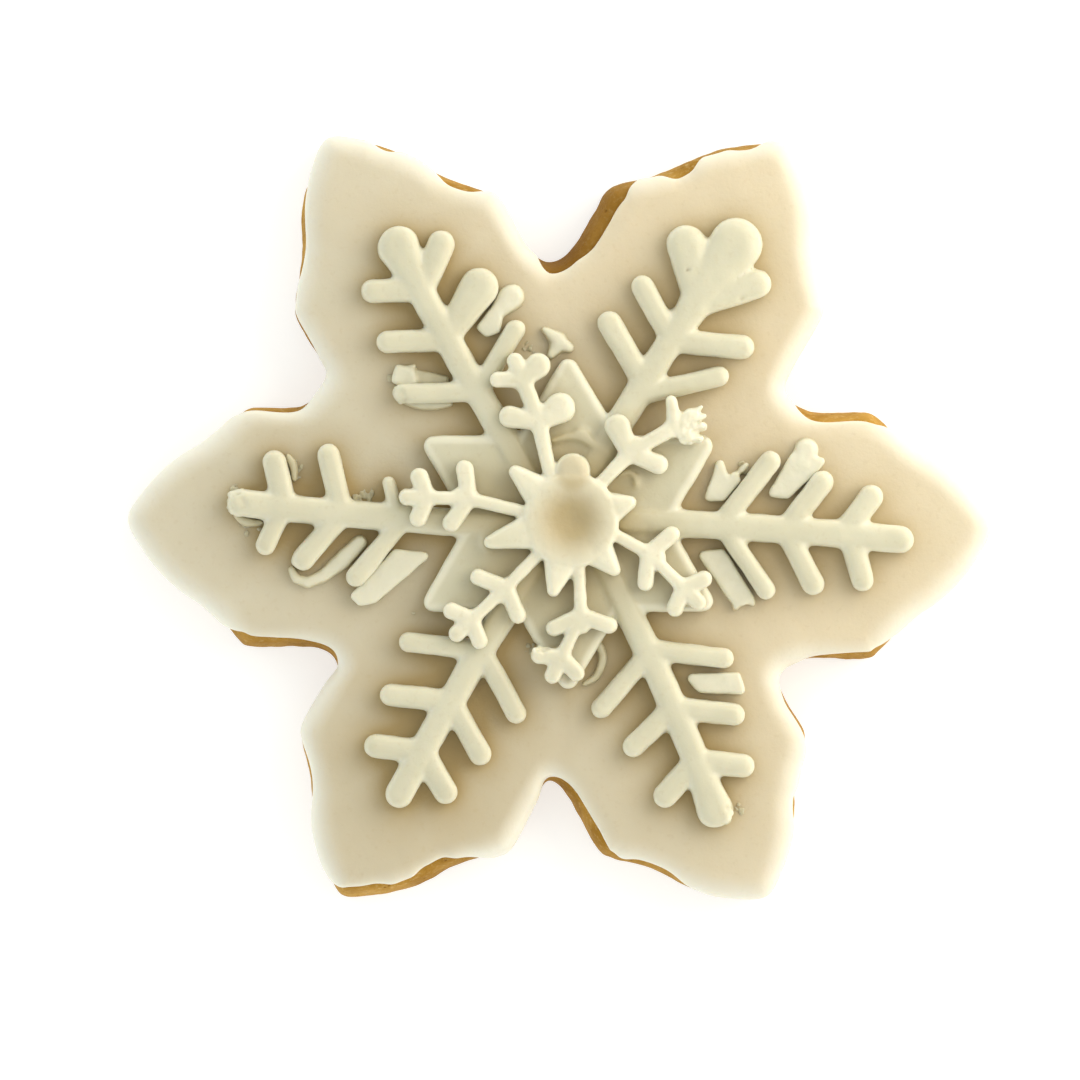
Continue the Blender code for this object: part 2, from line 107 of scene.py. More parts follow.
# Broken bars stuck to the coating: start, end, half width at the start and at the end, height
STUCK_BARS = (
    ((18.6, -8.9), (18.4, -9.3), 0.55, 0.42, 1.2),
    ((19.9, -8.5), (20.2, -8.9), 0.5, 0.38, 1.2),
    ((25.4, 5.8), (25.8, 7.1), 1.35, 1.3, 1.6),
    ((19.0, 5.0), (19.5, 5.5), 0.4, 0.35, 1.1),
    ((-6.2, 21.9), (-5.0, 23.1), 1.0, 1.4, 1.5),
    ((-1.6, 19.7), (-0.1, 18.6), 0.35, 0.95, 1.2),
    ((-0.1, 18.4), (1.0, 17.8), 1.0, 0.55, 1.2),
    ((-0.1, 18.2), (-0.9, 17.0), 0.95, 0.45, 1.15),
    ((-20.9, -2.6), (-22.6, -4.3), 0.8, 0.95, 1.2),
    ((-22.6, -4.3), (-24.6, -6.0), 0.95, 0.75, 1.15),
    ((-24.6, -6.0), (-26.3, -6.75), 0.75, 0.6, 1.1),
    ((-26.3, -6.75), (-27.5, -6.4), 0.6, 0.5, 1.05),
    ((-27.5, -6.4), (-28.0, -5.4), 0.5, 0.4, 1.0),
    ((-16.9, 15.4), (-15.2, 15.9), 0.3, 0.25, 1.0),
)
# Broken slabs stuck to the coating: corners counterclockwise and height
STUCK_SLABS = (
    (((14.7, -17.85), (18.9, -18.0), (18.5, -16.5), (13.8, -16.75)), 1.4),
    (((18.5, -8.95), (19.95, -8.45), (16.95, -3.65), (15.0, -3.9)), 1.3),
    (((15.65, 2.2), (16.95, 2.2), (17.3, 4.1), (16.75, 5.6)), 1.3),
    (((16.6, 2.2), (17.0, 2.2), (18.5, 3.95), (18.3, 4.4)), 1.25),
    (((22.3, 2.6), (23.7, 2.45), (26.7, 5.2), (27.3, 5.9), (24.5, 6.4)), 1.5),
    (((-21.4, -8.2), (-20.8, -8.7), (-19.3, -8.4), (-14.2, -4.0), (-17.1, -3.7)), 1.5),
    (((-8.2, 19.9), (-7.6, 19.35), (-6.6, 19.7), (-6.3, 21.6), (-6.6, 22.0)), 1.5),
    (((-17.1, 14.5), (-16.3, 14.0), (-15.3, 14.2), (-15.5, 15.1), (-16.8, 15.6)), 1.2),
    (((-16.0, 14.3), (-12.3, 14.3), (-12.0, 14.45), (-15.2, 15.15)), 0.75),
)
SLAB_CORNER = 0.45
# Depth to which stuck pieces reach into the coating, and the height that melting takes off them
STUCK_ROOT = 0.7
MELT_LOSS = 0.1

# Thin curls and slivers of coating: height that they lie at, half width, then their points
CURLS = (
    (10.5, 0.5, ((-0.8, 8.0), (0.8, 8.5), (2.3, 8.45), (3.7, 7.6), (5.3, 6.7))),
    (10.5, 0.5, ((1.5, 8.7), (2.4, 8.9), (3.4, 8.0))),
    (10.5, 0.32, ((6.3, 4.4), (7.1, 4.8), (7.9, 4.3), (8.0, 3.4))),
    (10.5, 0.32, ((-6.6, -2.2), (-7.6, -1.8), (-8.0, -2.7), (-7.4, -3.4))),
    (8.4, 0.5, ((2.9, -12.3), (4.2, -13.4), (4.5, -15.0), (3.8, -16.6), (2.6, -17.3))),
    (8.4, 0.5, ((-34.0, 0.5), (-33.2, -0.2), (-32.2, -0.5), (-31.1, -0.5))),
    (8.4, 0.5, ((-28.4, 6.5), (-27.8, 5.4), (-27.7, 4.0))),
    (8.4, 0.6, ((-16.4, 12.4), (-14.2, 11.8), (-11.4, 11.9))),
)
CURL_SAMPLES = 4
# Crumbs of coating: middle of a patch, its reach, how many crumbs and their size
CRUMB_PATCHES = (
    ((-16.9, 14.6), 1.0, 7, 0.3),
    ((-33.9, 3.1), 0.7, 9, 0.22),
    ((-32.5, -0.9), 1.2, 12, 0.22),
    ((-27.6, 5.2), 1.1, 14, 0.24),
    ((-20.4, 2.3), 1.1, 26, 0.22),
    ((-15.9, 1.9), 0.8, 10, 0.26),
    ((18.9, -30.4), 0.6, 7, 0.24),
    ((19.3, 5.2), 0.6, 7, 0.28),
    ((-3.1, 17.8), 0.7, 14, 0.17),
    ((-2.9, -13.9), 0.7, 8, 0.24),
    ((-15.3, -9.8), 0.2, 2, 0.24),
)
CRUMB_BASE = 8.4
CRUMB_FLATNESS = 0.5
CRUMB_SKIN = 0.07
CRUMB_SIZES = (0.45, 1.5)
# Ragged places on the flakes: middle and reach
RAGGED = (
    ((-34.0, 1.8), 2.2), ((-29.0, -5.2), 1.8), ((18.2, -31.0), 2.0), ((13.6, 9.2), 2.8), ((-17.0, 12.6), 1.8),
    ((26.0, 7.0), 1.4), ((-2.0, -13.6), 1.6), ((-21.0, 7.0), 1.4),
)
# Tears in the ragged places, coarse and fine, as layers of noise: size, depth and seed
RAGGED_TEARS = ((0.9, 0.42, 81.0), (0.42, 0.24, 82.0))
# Small pores in the large flake: place and radius
PORES = (
    ((13.4, 25.9), 0.2), ((19.0, 22.9), 0.22), ((16.9, -10.8), 0.2), ((-19.1, -22.1), 0.2),
    ((-8.6, 27.4), 0.18),
)
PORE_DEPTH = 0.25
# Unevenness of each skin, as layers of noise: size, depth and seed
STUCK_GRAIN = ((1.4, 0.08, 41.0), (0.5, 0.03, 42.0))
CRUMB_GRAIN = ((0.45, 0.12, 71.0), (0.2, 0.05, 72.0))
LARGE_GRAIN = ((2.6, 0.09, 51.0), (1.0, 0.035, 52.0))
SMALL_GRAIN = ((1.6, 0.06, 61.0), (0.6, 0.03, 62.0))
# Lumps in the dough's wall and waves in the coating's top: size, share of the setting and seed
WALL_LUMPS = ((3.4, 1.0, 3.0), (1.3, 0.55, 4.0))
TOP_WAVES = ((9.0, 1.0, 31.0), (3.0, 0.35, 32.0))
# Spacing of the pucks along the large bars, the fine ones and the curls
LARGE_SPACING, FINE_SPACING, CURL_SPACING = 0.35, 0.25, 0.2
# Rounding of the slabs', the plate's and the hub's upper edge
SLAB_EDGE, PLATE_EDGE, HUB_EDGE = 0.3, 0.6, 0.7
HUB_FACETS = 40

# Large flake: a hexagram plate with six branched arms
LARGE_BASE = 8.3
LARGE_TOP = 11.2
PLATE_TOP = 10.6
PLATE_CENTRE = Vector((0.9, -0.6))
PLATE_REACH = 17.3
PLATE_CORNER_RADIUS = 1.1
ARM_WIDTH = 2.9
ARM_ROOT = 6.0
# Arms: heading, reach, sideways shift at the root, lean of the left and right branches, their slide
LARGE_ARMS = {
    "e": (357.3, 34.7, 0.6, 55, 60, 0.2),
    "ne": (59.0, 34.0, 0.9, 60, 55, -0.4),
    "nw": (121.5, 33.9, 1.0, 60, 63, 0.4),
    "w": (176.4, 34.3, 0.6, 53, 73, 1.1),
    "sw": (238.0, 33.3, -0.8, 61, 64, -0.3),
    "se": (297.1, 33.6, 1.5, 56, 68, -0.4),
}
SHIFT_FADE_POWER = 3
STEM_BENDS = (0.55, 0.8, 1.0)
# Branches from the root out: place along the arm, length and width
LARGE_BRANCHES = ((16.3, 7.6, 2.15), (22.5, 6.3, 2.4), (28.5, 4.9, 2.55))
# Branches that came out of the mould unlike the rest: place, length, width, width at the tip, lean
ODD_BRANCHES = {
    ("e", LEFT, 0): (15.9, 8.5, 2.2, 2.2, 55),
    ("e", RIGHT, 0): (16.1, 8.1, 2.0, 2.0, 53),
    ("e", RIGHT, 2): (29.5, 4.9, 2.4, 2.4, 72),
    ("ne", LEFT, 0): (16.7, 7.2, 2.4, 2.6, 61),
    ("ne", LEFT, 2): (27.1, 5.8, 3.0, 4.2, 43),
    ("ne", RIGHT, 0): (15.1, 8.9, 2.2, 2.2, 46),
    ("ne", RIGHT, 1): (21.9, 7.5, 2.5, 2.6, 64),
    ("ne", RIGHT, 2): (26.5, 6.8, 3.1, 3.1, 41),
    ("nw", RIGHT, 1): (23.2, 6.3, 2.6, 4.1, 64),
    ("nw", RIGHT, 2): (28.8, 5.3, 2.7, 2.9, 55),
    ("se", LEFT, 0): (15.4, 8.1, 2.2, 2.2, 56),
    ("se", RIGHT, 1): (22.1, 5.8, 2.4, 2.4, 73),
    ("w", RIGHT, 0): (17.8, 3.8, 1.4, 1.4, 72),
    ("w", LEFT, 0): (17.1, 7.9, 1.9, 2.2, 54),
    ("w", LEFT, 2): (29.8, 4.3, 2.1, 2.1, 68),
}
# Thickened arm ends: where the swelling starts, the width there and at the tip
SWOLLEN_TIPS = {"nw": (29.5, 2.9, 4.4), "ne": (25.0, 3.2, 5.6), "se": (29.0, 2.9, 3.8)}

# Small flake: a hub with six spikes and a shallow dish, and six fine arms of two branch pairs
SMALL_BASE = 11.0
SMALL_TOP = 12.8
HUB_TOP = 13.4
HUB_CENTRE = Vector((1.2, -0.25))
HUB_RADIUS = 5.0
SPIKE_BASE_RADIUS = 2.3
SPIKE_TIP_RADIUS = 0.7
HUB_SPIKES = ((17, 7.1), (139, 8.4), (195, 9.4), (256, 8.2), (311, 7.5))
HUB_LOBE = (88, 7.0, 1.8)
DISH_RADIUS = 3.9
DISH_DEPTH = 0.8
FINE_ROOT = 4.0
FINE_STEM_WIDTH = 1.35
FINE_BRANCH_WIDTH = 1.75
FINE_TIP_RUN = 2.1
FINE_INNER_BRANCH = 3.1
FINE_OUTER_BRANCH = 2.3
FINE_LEAN = 68
# Fine arms: heading at the root, heading and radius of the first and of the second branching,
# and how much wider than the rest their branches end
FINE_ARMS = (
    (52, 49, 9.3, 42, 14.6, 1.35),
    (119, 108, 10.8, 109, 15.5, 1.5),
    (171, 168, 10.9, 171, 15.2, 1.1),
    (226, 226, 9.8, 225, 14.7, 1.0),
    (281, 276, 10.0, 266, 14.3, 1.0),
    (344, 337, 8.8, 329, 13.7, 1.0),
)
# Web in each fork of a fine arm, and the branches unlike the rest: arm, fork and side, length, half width
FINE_WEB_RADIUS = 1.0
FINE_WEB_RUN = 0.9
FINE_ODD = {
    (0, 0, LEFT): (3.0, 1.35), (0, 0, RIGHT): (3.2, 1.05),
    (0, 1, LEFT): (2.7, 0.6), (0, 1, RIGHT): (1.6, 0.8),
    (1, 0, LEFT): (3.1, 1.15), (1, 0, RIGHT): (2.6, 1.6),
    (1, 1, LEFT): (2.6, 0.85), (1, 1, RIGHT): (2.2, 1.3),
}
# Torn fingers at the end of the first fine arm: start, end and half width
FINE_FINGERS = (
    ((12.6, 9.9), (14.8, 11.6), 0.28), ((12.6, 9.7), (15.0, 10.6), 0.45), ((12.6, 9.3), (15.1, 9.5), 0.5),
    ((12.6, 8.9), (14.6, 8.2), 0.52),
)
# Notch walls darkened with painted shade, where shade falls into the notches: heading, half its width in
# degrees, share
NOTCH_SHADE = ((86, 16, 0.6), (255, 10, 0.25), (204, 8, 0.2))
# Side on which the coating is yellower, the width over which that comes in, and its darker lower side
WARM_HEADING = 22
WARM_WIDTH = 45.0
DUSK_REACH = 35.0
# Painted shade in the coating, a tan where the large flake's bars shade it: share and reach of its two fades
# beside the large flake, spread and share of what lies among the bars, shares of a darker tan on the cool and
# the lower side, and what the warm side takes off
CLOSE_FADES = ((0.3, 1.2), (0.3, 5.5))
CROWD_SPREAD, CROWD_SHADE = 2.4, 0.62
COOL_SHADE, DUSK_SHADE, WARM_RELIEF = 0.1, 0.22, 0.3
WARM_SHARE = 0.65
# Crowding at which the tan comes in, and how fast
CROWD_FROM, CROWD_WIDTH = 0.1, 0.6
# Painted shade, in honey, in the large flake: spread and share of what lies among the fine bars above it,
# shares of the plate's middle and of the pores, and in the small flake: shares of its dish and its lobe
NEST_SPREAD, NEST_SHADE = 2.2, 0.55
MIDDLE_SHADE, PORE_SHADE = 0.3, 0.4
DISH_SHADE, LOBE_SHADE = 0.95, 0.5
# Stuck pieces: share of painted shade (honey) low down, share of painted highlight (pale rim) high up,
# and the height of both fades
STUCK_SHADE, STUCK_RIM, STUCK_FADE = 0.45, 0.5, 0.6
CRUMB_SHADE = 0.5
# Painted highlight along the bars' upper edges, a pale rim: its share, and the width and the height
# over which it fades
BAR_RIM, RIM_WIDTH, RIM_HEIGHT = 0.6, 0.55, 1.0

# Surroundings: strength near the horizon and overhead, and tint at the left and at the right
HORIZON_LIGHT, OVERHEAD_LIGHT = 1.55, 0.58
COOL_TINT, WARM_TINT = (0.93, 0.98, 1.0, 1.0), (1.0, 0.955, 0.86, 1.0)
# Side lamp and floor, in metres
LAMP_PLACE, LAMP_TARGET, LAMP_SIZE = (0.16, 0.08, 0.13), (0.0, 0.0, 0.005), 0.22
LAMP_COLOUR = (1.0, 0.93, 0.82)
FLOOR_HALF = 2.5
# Framing of the photograph: its size in pixels, the pixel of the model's origin and the scale
PHOTO_PIXELS = 1080
ORIGIN_PIXEL = (559.5, 518.0)
PIXELS_PER_MM = 9.56
VIEW_PLANE = 7.5
SENSOR_WIDTH = 36.0


def polar(heading, radius):
    """Point at a heading in degrees and a radius."""
    angle = math.radians(heading)
    return Vector((radius * math.cos(angle), radius * math.sin(angle)))


def turned(point, heading):
    """Point of an arm that lies along +X, turned to its heading."""
    angle = math.radians(heading)
    return Vector((
        point[0] * math.cos(angle) - point[1] * math.sin(angle),
        point[0] * math.sin(angle) + point[1] * math.cos(angle),
    ))


def smoothstep(value):
    """Soft step from 0 to 1, for a number or an array."""
    value = np.clip(value, 0.0, 1.0)
    return value * value * (3.0 - 2.0 * value)


def curve_point(before, start, end, after, t):
    """Point at the share t of a Catmull-Rom span from start to end, for one span or an array of them."""
    return 0.5 * (
        2.0 * start
        + (end - before) * t
        + (2.0 * before - 5.0 * start + 4.0 * end - after) * t * t
        + (3.0 * start - before - 3.0 * end + after) * t * t * t
    )


def headings_of(points):
    """Headings in degrees of points, from 0 to 360."""
    return np.degrees(np.arctan2(points[:, 1], points[:, 0])) % 360.0


def plan_distance(points, place):
    """Distance in the plan from each point to a place."""
    return np.linalg.norm(points[:, :2] - np.array(place), axis=1)


def arm_points(arm, notch_before, notch_after):
    """Control points of one biscuit arm, from just past one notch to the next notch."""
    axis, reach, left_width, right_width, lean = arm
    stretch = (reach - SHOULDER_PLACE) / (NOMINAL_REACH - SHOULDER_PLACE)

    def side_point(place, across):
        beyond = max(0.0, place - SHOULDER_PLACE)
        drift = lean * beyond / (NOMINAL_REACH - SHOULDER_PLACE)
        return turned((place + beyond * (stretch - 1.0), across + drift), axis)

    start_right = turned(polar(*notch_before), -axis)[0] + NOTCH_RUN
    start_left = turned(polar(*notch_after), -axis)[0] + NOTCH_RUN
    points = [side_point(start_right, -right_width)]
    points += [side_point(place, -share * right_width) for place, share in ARM_SIDE]
    points.append(side_point(NOMINAL_REACH, 0.0))
    points += [side_point(place, share * left_width) for place, share in reversed(ARM_SIDE)]
    points.append(side_point(start_left, left_width))
    points.append(polar(*notch_after))
    return points


def biscuit_outline():
    """Outline seen from above as an array, a closed Catmull-Rom curve centred on its own box."""
    points = []
    for index, arm in enumerate(BISCUIT_ARMS):
        points += arm_points(arm, NOTCHES[index - 1], NOTCHES[index])
    knots = np.array(points)
    before, end, after = (np.roll(knots, shift, axis=0) for shift in (1, -1, -2))
    shares = np.arange(SAMPLES_PER_SPAN) / SAMPLES_PER_SPAN
    spans = [curve_point(before, knots, end, after, t) for t in shares]
    outline = np.stack(spans, axis=1).reshape(-1, 2)
    return outline - (outline.min(axis=0) + outline.max(axis=0)) / 2.0


def loop_normals(loop):
    """Unit normals of a closed counterclockwise loop."""
    along = np.roll(loop, -1, axis=0) - np.roll(loop, 1, axis=0)
    normals = np.stack((along[:, 1], -along[:, 0]), axis=1)
    return normals / np.linalg.norm(normals, axis=1, keepdims=True)


def samples_within(loop, reach):
    """How many points of a loop lie within a reach along it."""
    steps = np.linalg.norm(np.roll(loop, -1, axis=0) - loop, axis=1)
    return int(reach / steps.mean())


def soft_normals(loop):
    """Normals averaged along the loop, so deep insets don't cross at the arm tips."""
    normals = loop_normals(loop)
    count = samples_within(loop, SOFT_NORMAL_REACH)
    total = sum(np.roll(normals, shift, axis=0) for shift in range(-count, count + 1))
    return total / np.linalg.norm(total, axis=1, keepdims=True)


def bare_depths(outline, wander):
    """How far the coating stops short of the outline at each point of it."""
    headings = headings_of(outline)
    depths = np.zeros(len(outline))
    for start, end, deepest in BARE_STRETCHES:
        soft = BARE_SOFT_SHARE * (end - start)
        share = smoothstep((headings - start) / soft) * smoothstep((end - headings) / soft)
        depths = np.maximum(depths, deepest * share)
    count = samples_within(outline, BARE_BLUR)
    depths = sum(np.roll(depths, shift) for shift in range(-count, count + 1)) / (2 * count + 1)
    ripple = field_noise(np.column_stack((outline, np.zeros(len(outline)))), 3.2, 11.0)
    return np.maximum(0.0, depths + wander * ripple * smoothstep(depths / 0.5))


def field_noise(points, scale, seed):
    """Smooth noise from -1 to 1 at points in millimetres, with features of the given size."""
    shift = Vector((seed * 17.3, seed * 5.1, seed * 9.7))
    return np.array([noise.noise(Vector(point) / scale + shift) for point in points])


def layered_noise(points, layers):
    """Sum of layers of noise at points: size, depth, seed."""
    return sum(depth * field_noise(points, size, seed) for size, depth, seed in layers)


def new_object(name, data):
    """Object in the scene that holds some data."""
    item = bpy.data.objects.new(name, data)
    bpy.context.scene.collection.objects.link(item)
    return item


def drawn_in(loop, share, heights):
    """Ring at some heights through the points of a loop, drawn in towards the middle."""
    return np.column_stack((loop[:, :2] * share, np.full(len(loop), heights)))


def shell(name, rings):
    """Closed mesh object through rings of equally many points, counterclockwise from the bottom up."""
    count = len(rings[0])
    index = np.arange(count)
    following = (index + 1) % count
    faces = []
    for level in range(len(rings) - 1):
        low, high = level * count, (level + 1) * count
        quads = np.stack((low + index, low + following, high + following, high + index), axis=1)
        faces += quads.tolist()
    vertices = np.concatenate(rings).tolist()
    low_centre, high_centre = len(vertices), len(vertices) + 1
    vertices += [np.mean(rings[0], axis=0).tolist(), np.mean(rings[-1], axis=0).tolist()]
    top = (len(rings) - 1) * count
    faces += [(low_centre, int(b), int(a)) for a, b in zip(index, following)]
    faces += [(high_centre, int(top + a), int(top + b)) for a, b in zip(index, following)]
    mesh = bpy.data.meshes.new(name)
    mesh.from_pydata([[c * MM for c in vertex] for vertex in vertices], [], faces)
    return new_object(name, mesh)


def read_points(mesh):
    """Vertex places of a mesh in millimetres."""
    points = np.empty(len(mesh.vertices) * 3)
    mesh.vertices.foreach_get("co", points)
    return points.reshape(-1, 3) / MM


def write_points(mesh, points):
    """Put the vertices of a mesh at places in millimetres."""
    mesh.vertices.foreach_set("co", (points * MM).ravel())
    mesh.update()


def read_normals(mesh):
    """Vertex normals of a mesh."""
    normals = np.empty(len(mesh.vertices) * 3)
    mesh.vertices.foreach_get("normal", normals)
    return normals.reshape(-1, 3)


def write_share(mesh, name, values):
    """Store one number between 0 and 1 for each vertex."""
    layer = mesh.attributes.new(name, "FLOAT", "POINT")
    layer.data.foreach_set("value", np.clip(values, 0.0, 1.0).astype(np.float32))


def bake_modifiers(item):
    """Turn an object with modifiers into a plain smooth-shaded mesh."""
    graph = bpy.context.evaluated_depsgraph_get()
    mesh = bpy.data.meshes.new_from_object(item.evaluated_get(graph))
    item.modifiers.clear()
    old = item.data
    item.data = mesh
    mesh.name = item.name
    bpy.data.meshes.remove(old)
    mesh.shade_smooth()
    return item


def finish_piece(item, material, nodes):
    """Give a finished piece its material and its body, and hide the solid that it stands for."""
    item.data.materials.clear()
    item.data.materials.append(material)
    item.data.shade_smooth()
    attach(item, BODY)
    if nodes:
        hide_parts(*nodes)
    return item


# Shapes of the moulded bars

def large_arm_point(arm, place):
    """Point on the middle line of a large arm, whose sideways shift fades out towards the tip."""
    heading, reach, shift = LARGE_ARMS[arm][:3]
    fading = shift * (1.0 - min(1.0, place / reach) ** SHIFT_FADE_POWER)
    return PLATE_CENTRE + turned((place, fading), heading)


def large_branch(arm, side, row):
    """Place, length, width, width at the tip and lean of a branch of the large flake."""
    if (arm, side, row) in ODD_BRANCHES:
        return ODD_BRANCHES[arm, side, row]
    place, length, width = LARGE_BRANCHES[row]
    left_lean, right_lean, slide = LARGE_ARMS[arm][3:]
    return place + slide, length, width, width, left_lean if side == LEFT else right_lean


def large_flake_bars():
    """Bars of the large flake: start, end, half width at both, height of the top."""
    bars = []
    for arm, (heading, reach, *_) in LARGE_ARMS.items():
        places = [ARM_ROOT] + [share * reach for share in STEM_BENDS]
        for start, end in zip(places, places[1:]):
            half = ARM_WIDTH / 2.0
            bars.append((large_arm_point(arm, start), large_arm_point(arm, end), half, half, LARGE_TOP))
        for row in range(len(LARGE_BRANCHES)):
            for side in (LEFT, RIGHT):
                place, length, width, tip_width, lean = large_branch(arm, side, row)
                root = large_arm_point(arm, place)
                end = root + polar(heading + side * lean, length)
                bars.append((root, end, width / 2.0, tip_width / 2.0, LARGE_TOP - 0.1 - 0.05 * row))
        if arm in SWOLLEN_TIPS:
            place, width, tip_width = SWOLLEN_TIPS[arm]
            start, end = large_arm_point(arm, place), large_arm_point(arm, reach)
            bars.append((start, end, width / 2.0, tip_width / 2.0, LARGE_TOP))
    return bars


def small_flake_bars():
    """Bars of the small flake's six fine arms, with a web where they fork."""
    bars = []
    branch = FINE_BRANCH_WIDTH / 2.0
    for arm, measures in enumerate(FINE_ARMS):
        root_heading, first_heading, first_radius, second_heading, second_radius, swell = measures
        root = HUB_CENTRE + polar(root_heading, FINE_ROOT)
        first = HUB_CENTRE + polar(first_heading, first_radius)
        second = HUB_CENTRE + polar(second_heading, second_radius)
        outward = (second - first).normalized()
        stem = FINE_STEM_WIDTH / 2.0
        thick = stem * (1.0 + 0.6 * (swell - 1.0))
        bars.append((root, first, stem, thick, SMALL_TOP))
        bars.append((first, second, thick, thick, SMALL_TOP))
        bars.append((second, second + outward * FINE_TIP_RUN, branch, branch, SMALL_TOP))
        forks = ((first, first - root, FINE_INNER_BRANCH), (second, second - first, FINE_OUTER_BRANCH))
        for row, (fork, direction, length) in enumerate(forks):
            heading = math.degrees(math.atan2(direction.y, direction.x))
            ahead = direction.normalized() * FINE_WEB_RUN
            web = FINE_WEB_RADIUS * (1.0 + 0.4 * (swell - 1.0))
            bars.append((fork - ahead * 0.5, fork + ahead, web * 0.85, web, SMALL_TOP - 0.05))
            for side in (LEFT, RIGHT):
                length_here, half = FINE_ODD.get((arm, row, side), (length, branch * swell))
                end = fork + polar(heading + side * FINE_LEAN, length_here)
                bars.append((fork, end, branch, half, SMALL_TOP))
    for start, end, half in FINE_FINGERS:
        bars.append((Vector(start), Vector(end), half, 0.7 * half, SMALL_TOP - 0.15))
    return bars


def hub_bars():
    """Spikes and lobe of the small flake's hub, as tapered bars."""
    bars = []
    for heading, reach in HUB_SPIKES:
        start = HUB_CENTRE + polar(heading, HUB_RADIUS - SPIKE_BASE_RADIUS)
        end = HUB_CENTRE + polar(heading, reach - SPIKE_TIP_RADIUS)
        bars.append((start, end, SPIKE_BASE_RADIUS, SPIKE_TIP_RADIUS, HUB_TOP - 0.1))
    heading, reach, radius = HUB_LOBE
    start = HUB_CENTRE + polar(heading, HUB_RADIUS - SPIKE_BASE_RADIUS)
    end = HUB_CENTRE + polar(heading, reach - radius)
    bars.append((start, end, radius, radius, HUB_TOP - 0.15))
    return bars


def bar_distance(points, bars):
    """Distance in the plan from each point to the nearest bar's side, negative inside it."""
    nearest = np.full(len(points), 1e9)
    for start, end, half, end_half, _ in bars:
        start, along = np.array(start), np.array(end - start)
        length = max(1e-6, float(along @ along))
        share = np.clip(((points - start) @ along) / length, 0.0, 1.0)
        gap = np.linalg.norm(points - start - share[:, None] * along, axis=1)
        nearest = np.minimum(nearest, gap - half - share * (end_half - half))
    return nearest


def plate_distance(points):
    """Distance in the plan from each point to the hexagram plate, negative inside it."""
    nearest = np.full(len(points), 1e9)
    inner = PLATE_REACH / 2.0
    for turn in (30, 90):
        away = np.full(len(points), -1e9)
        for side in range(3):
            facing = np.array(polar(turn + 60 + 120 * side, 1.0))
            away = np.maximum(away, (points - np.array(PLATE_CENTRE)) @ facing - inner)
        nearest = np.minimum(nearest, away)
    return nearest


def crowding(flat, bars, plate, spread):
    """How closely moulded bars surround each point, from 0 in the open to 1 among them."""
    cell, half = 0.3, 48.0
    axis = np.arange(-half, half, cell)
    grid_x, grid_y = np.meshgrid(axis, axis, indexing="ij")
    grid = np.column_stack((grid_x.ravel(), grid_y.ravel()))
    gap = bar_distance(grid, bars)
    if plate:
        gap = np.minimum(gap, plate_distance(grid))
    mask = (gap < 0.0).astype(float).reshape(grid_x.shape)
    waves = np.fft.fftfreq(len(axis), cell)
    soften = np.exp(-2.0 * (math.pi * spread) ** 2 * (waves[:, None] ** 2 + waves[None, :] ** 2))
    blurred = np.real(np.fft.ifft2(np.fft.fft2(mask) * soften))
    place = np.clip((flat + half) / cell, 0, len(axis) - 1.001)
    low = place.astype(int)
    share = place - low
    x, y = low[:, 0], low[:, 1]
    near = blurred[x, y] * (1.0 - share[:, 1]) + blurred[x, y + 1] * share[:, 1]
    far = blurred[x + 1, y] * (1.0 - share[:, 1]) + blurred[x + 1, y + 1] * share[:, 1]
    crowd = near * (1.0 - share[:, 0]) + far * share[:, 0]
    return smoothstep((crowd - CROWD_FROM) / CROWD_WIDTH)


def puck_object(segments=20, rings=7, edge=0.55):
    """Unit puck, one high and with a radius of one, whose upper edge is rounded off."""
    section = [(1.06, 0.0), (1.02, 0.25 * (1.0 - edge)), (1.0, 1.0 - edge)]
    for ring in range(1, rings):
        angle = 0.5 * math.pi * ring / rings
        section.append((math.cos(angle) ** 0.62, 1.0 - edge + edge * math.sin(angle) ** 0.85))
    angles = np.arange(segments) * 2.0 * math.pi / segments
    loops = [
        np.column_stack((radius * np.cos(angles), radius * np.sin(angles), np.full(segments, height)))
        for radius, height in section
    ]
    return shell("puck", [loop / MM for loop in loops])


def new_tree(name, inputs):
    """Geometry node tree with a geometry socket at each end and some more named inputs."""
    tree = bpy.data.node_groups.new(name, "GeometryNodeTree")
    for label, kind in (("Geometry", "NodeSocketGeometry"), *inputs):
        tree.interface.new_socket(label, in_out="INPUT", socket_type=kind)
    tree.interface.new_socket("Geometry", in_out="OUTPUT", socket_type="NodeSocketGeometry")
    return tree


def stored_number(tree, name):
    """Output of a node that reads a number stored on the points."""
    value = tree.nodes.new("GeometryNodeInputNamedAttribute")
    value.data_type = "FLOAT"
    value.inputs["Name"].default_value = name
    return value.outputs["Attribute"]


def lay_copies(tree, points, shape, scale, material):
    """Lay a copy of a shape on each point, make the copies real and give them their material."""
    nodes, link = tree.nodes, tree.links.new
    placed = nodes.new("GeometryNodeInstanceOnPoints")
    realized = nodes.new("GeometryNodeRealizeInstances")
    painted = nodes.new("GeometryNodeSetMaterial")
    painted.inputs["Material"].default_value = material
    link(points, placed.inputs["Points"])
    link(shape, placed.inputs["Instance"])
    link(scale, placed.inputs["Scale"])
    link(placed.outputs["Instances"], realized.inputs["Geometry"])
    link(realized.outputs["Geometry"], painted.inputs["Geometry"])
    link(painted.outputs["Geometry"], nodes.new("NodeGroupOutput").inputs["Geometry"])
    return placed


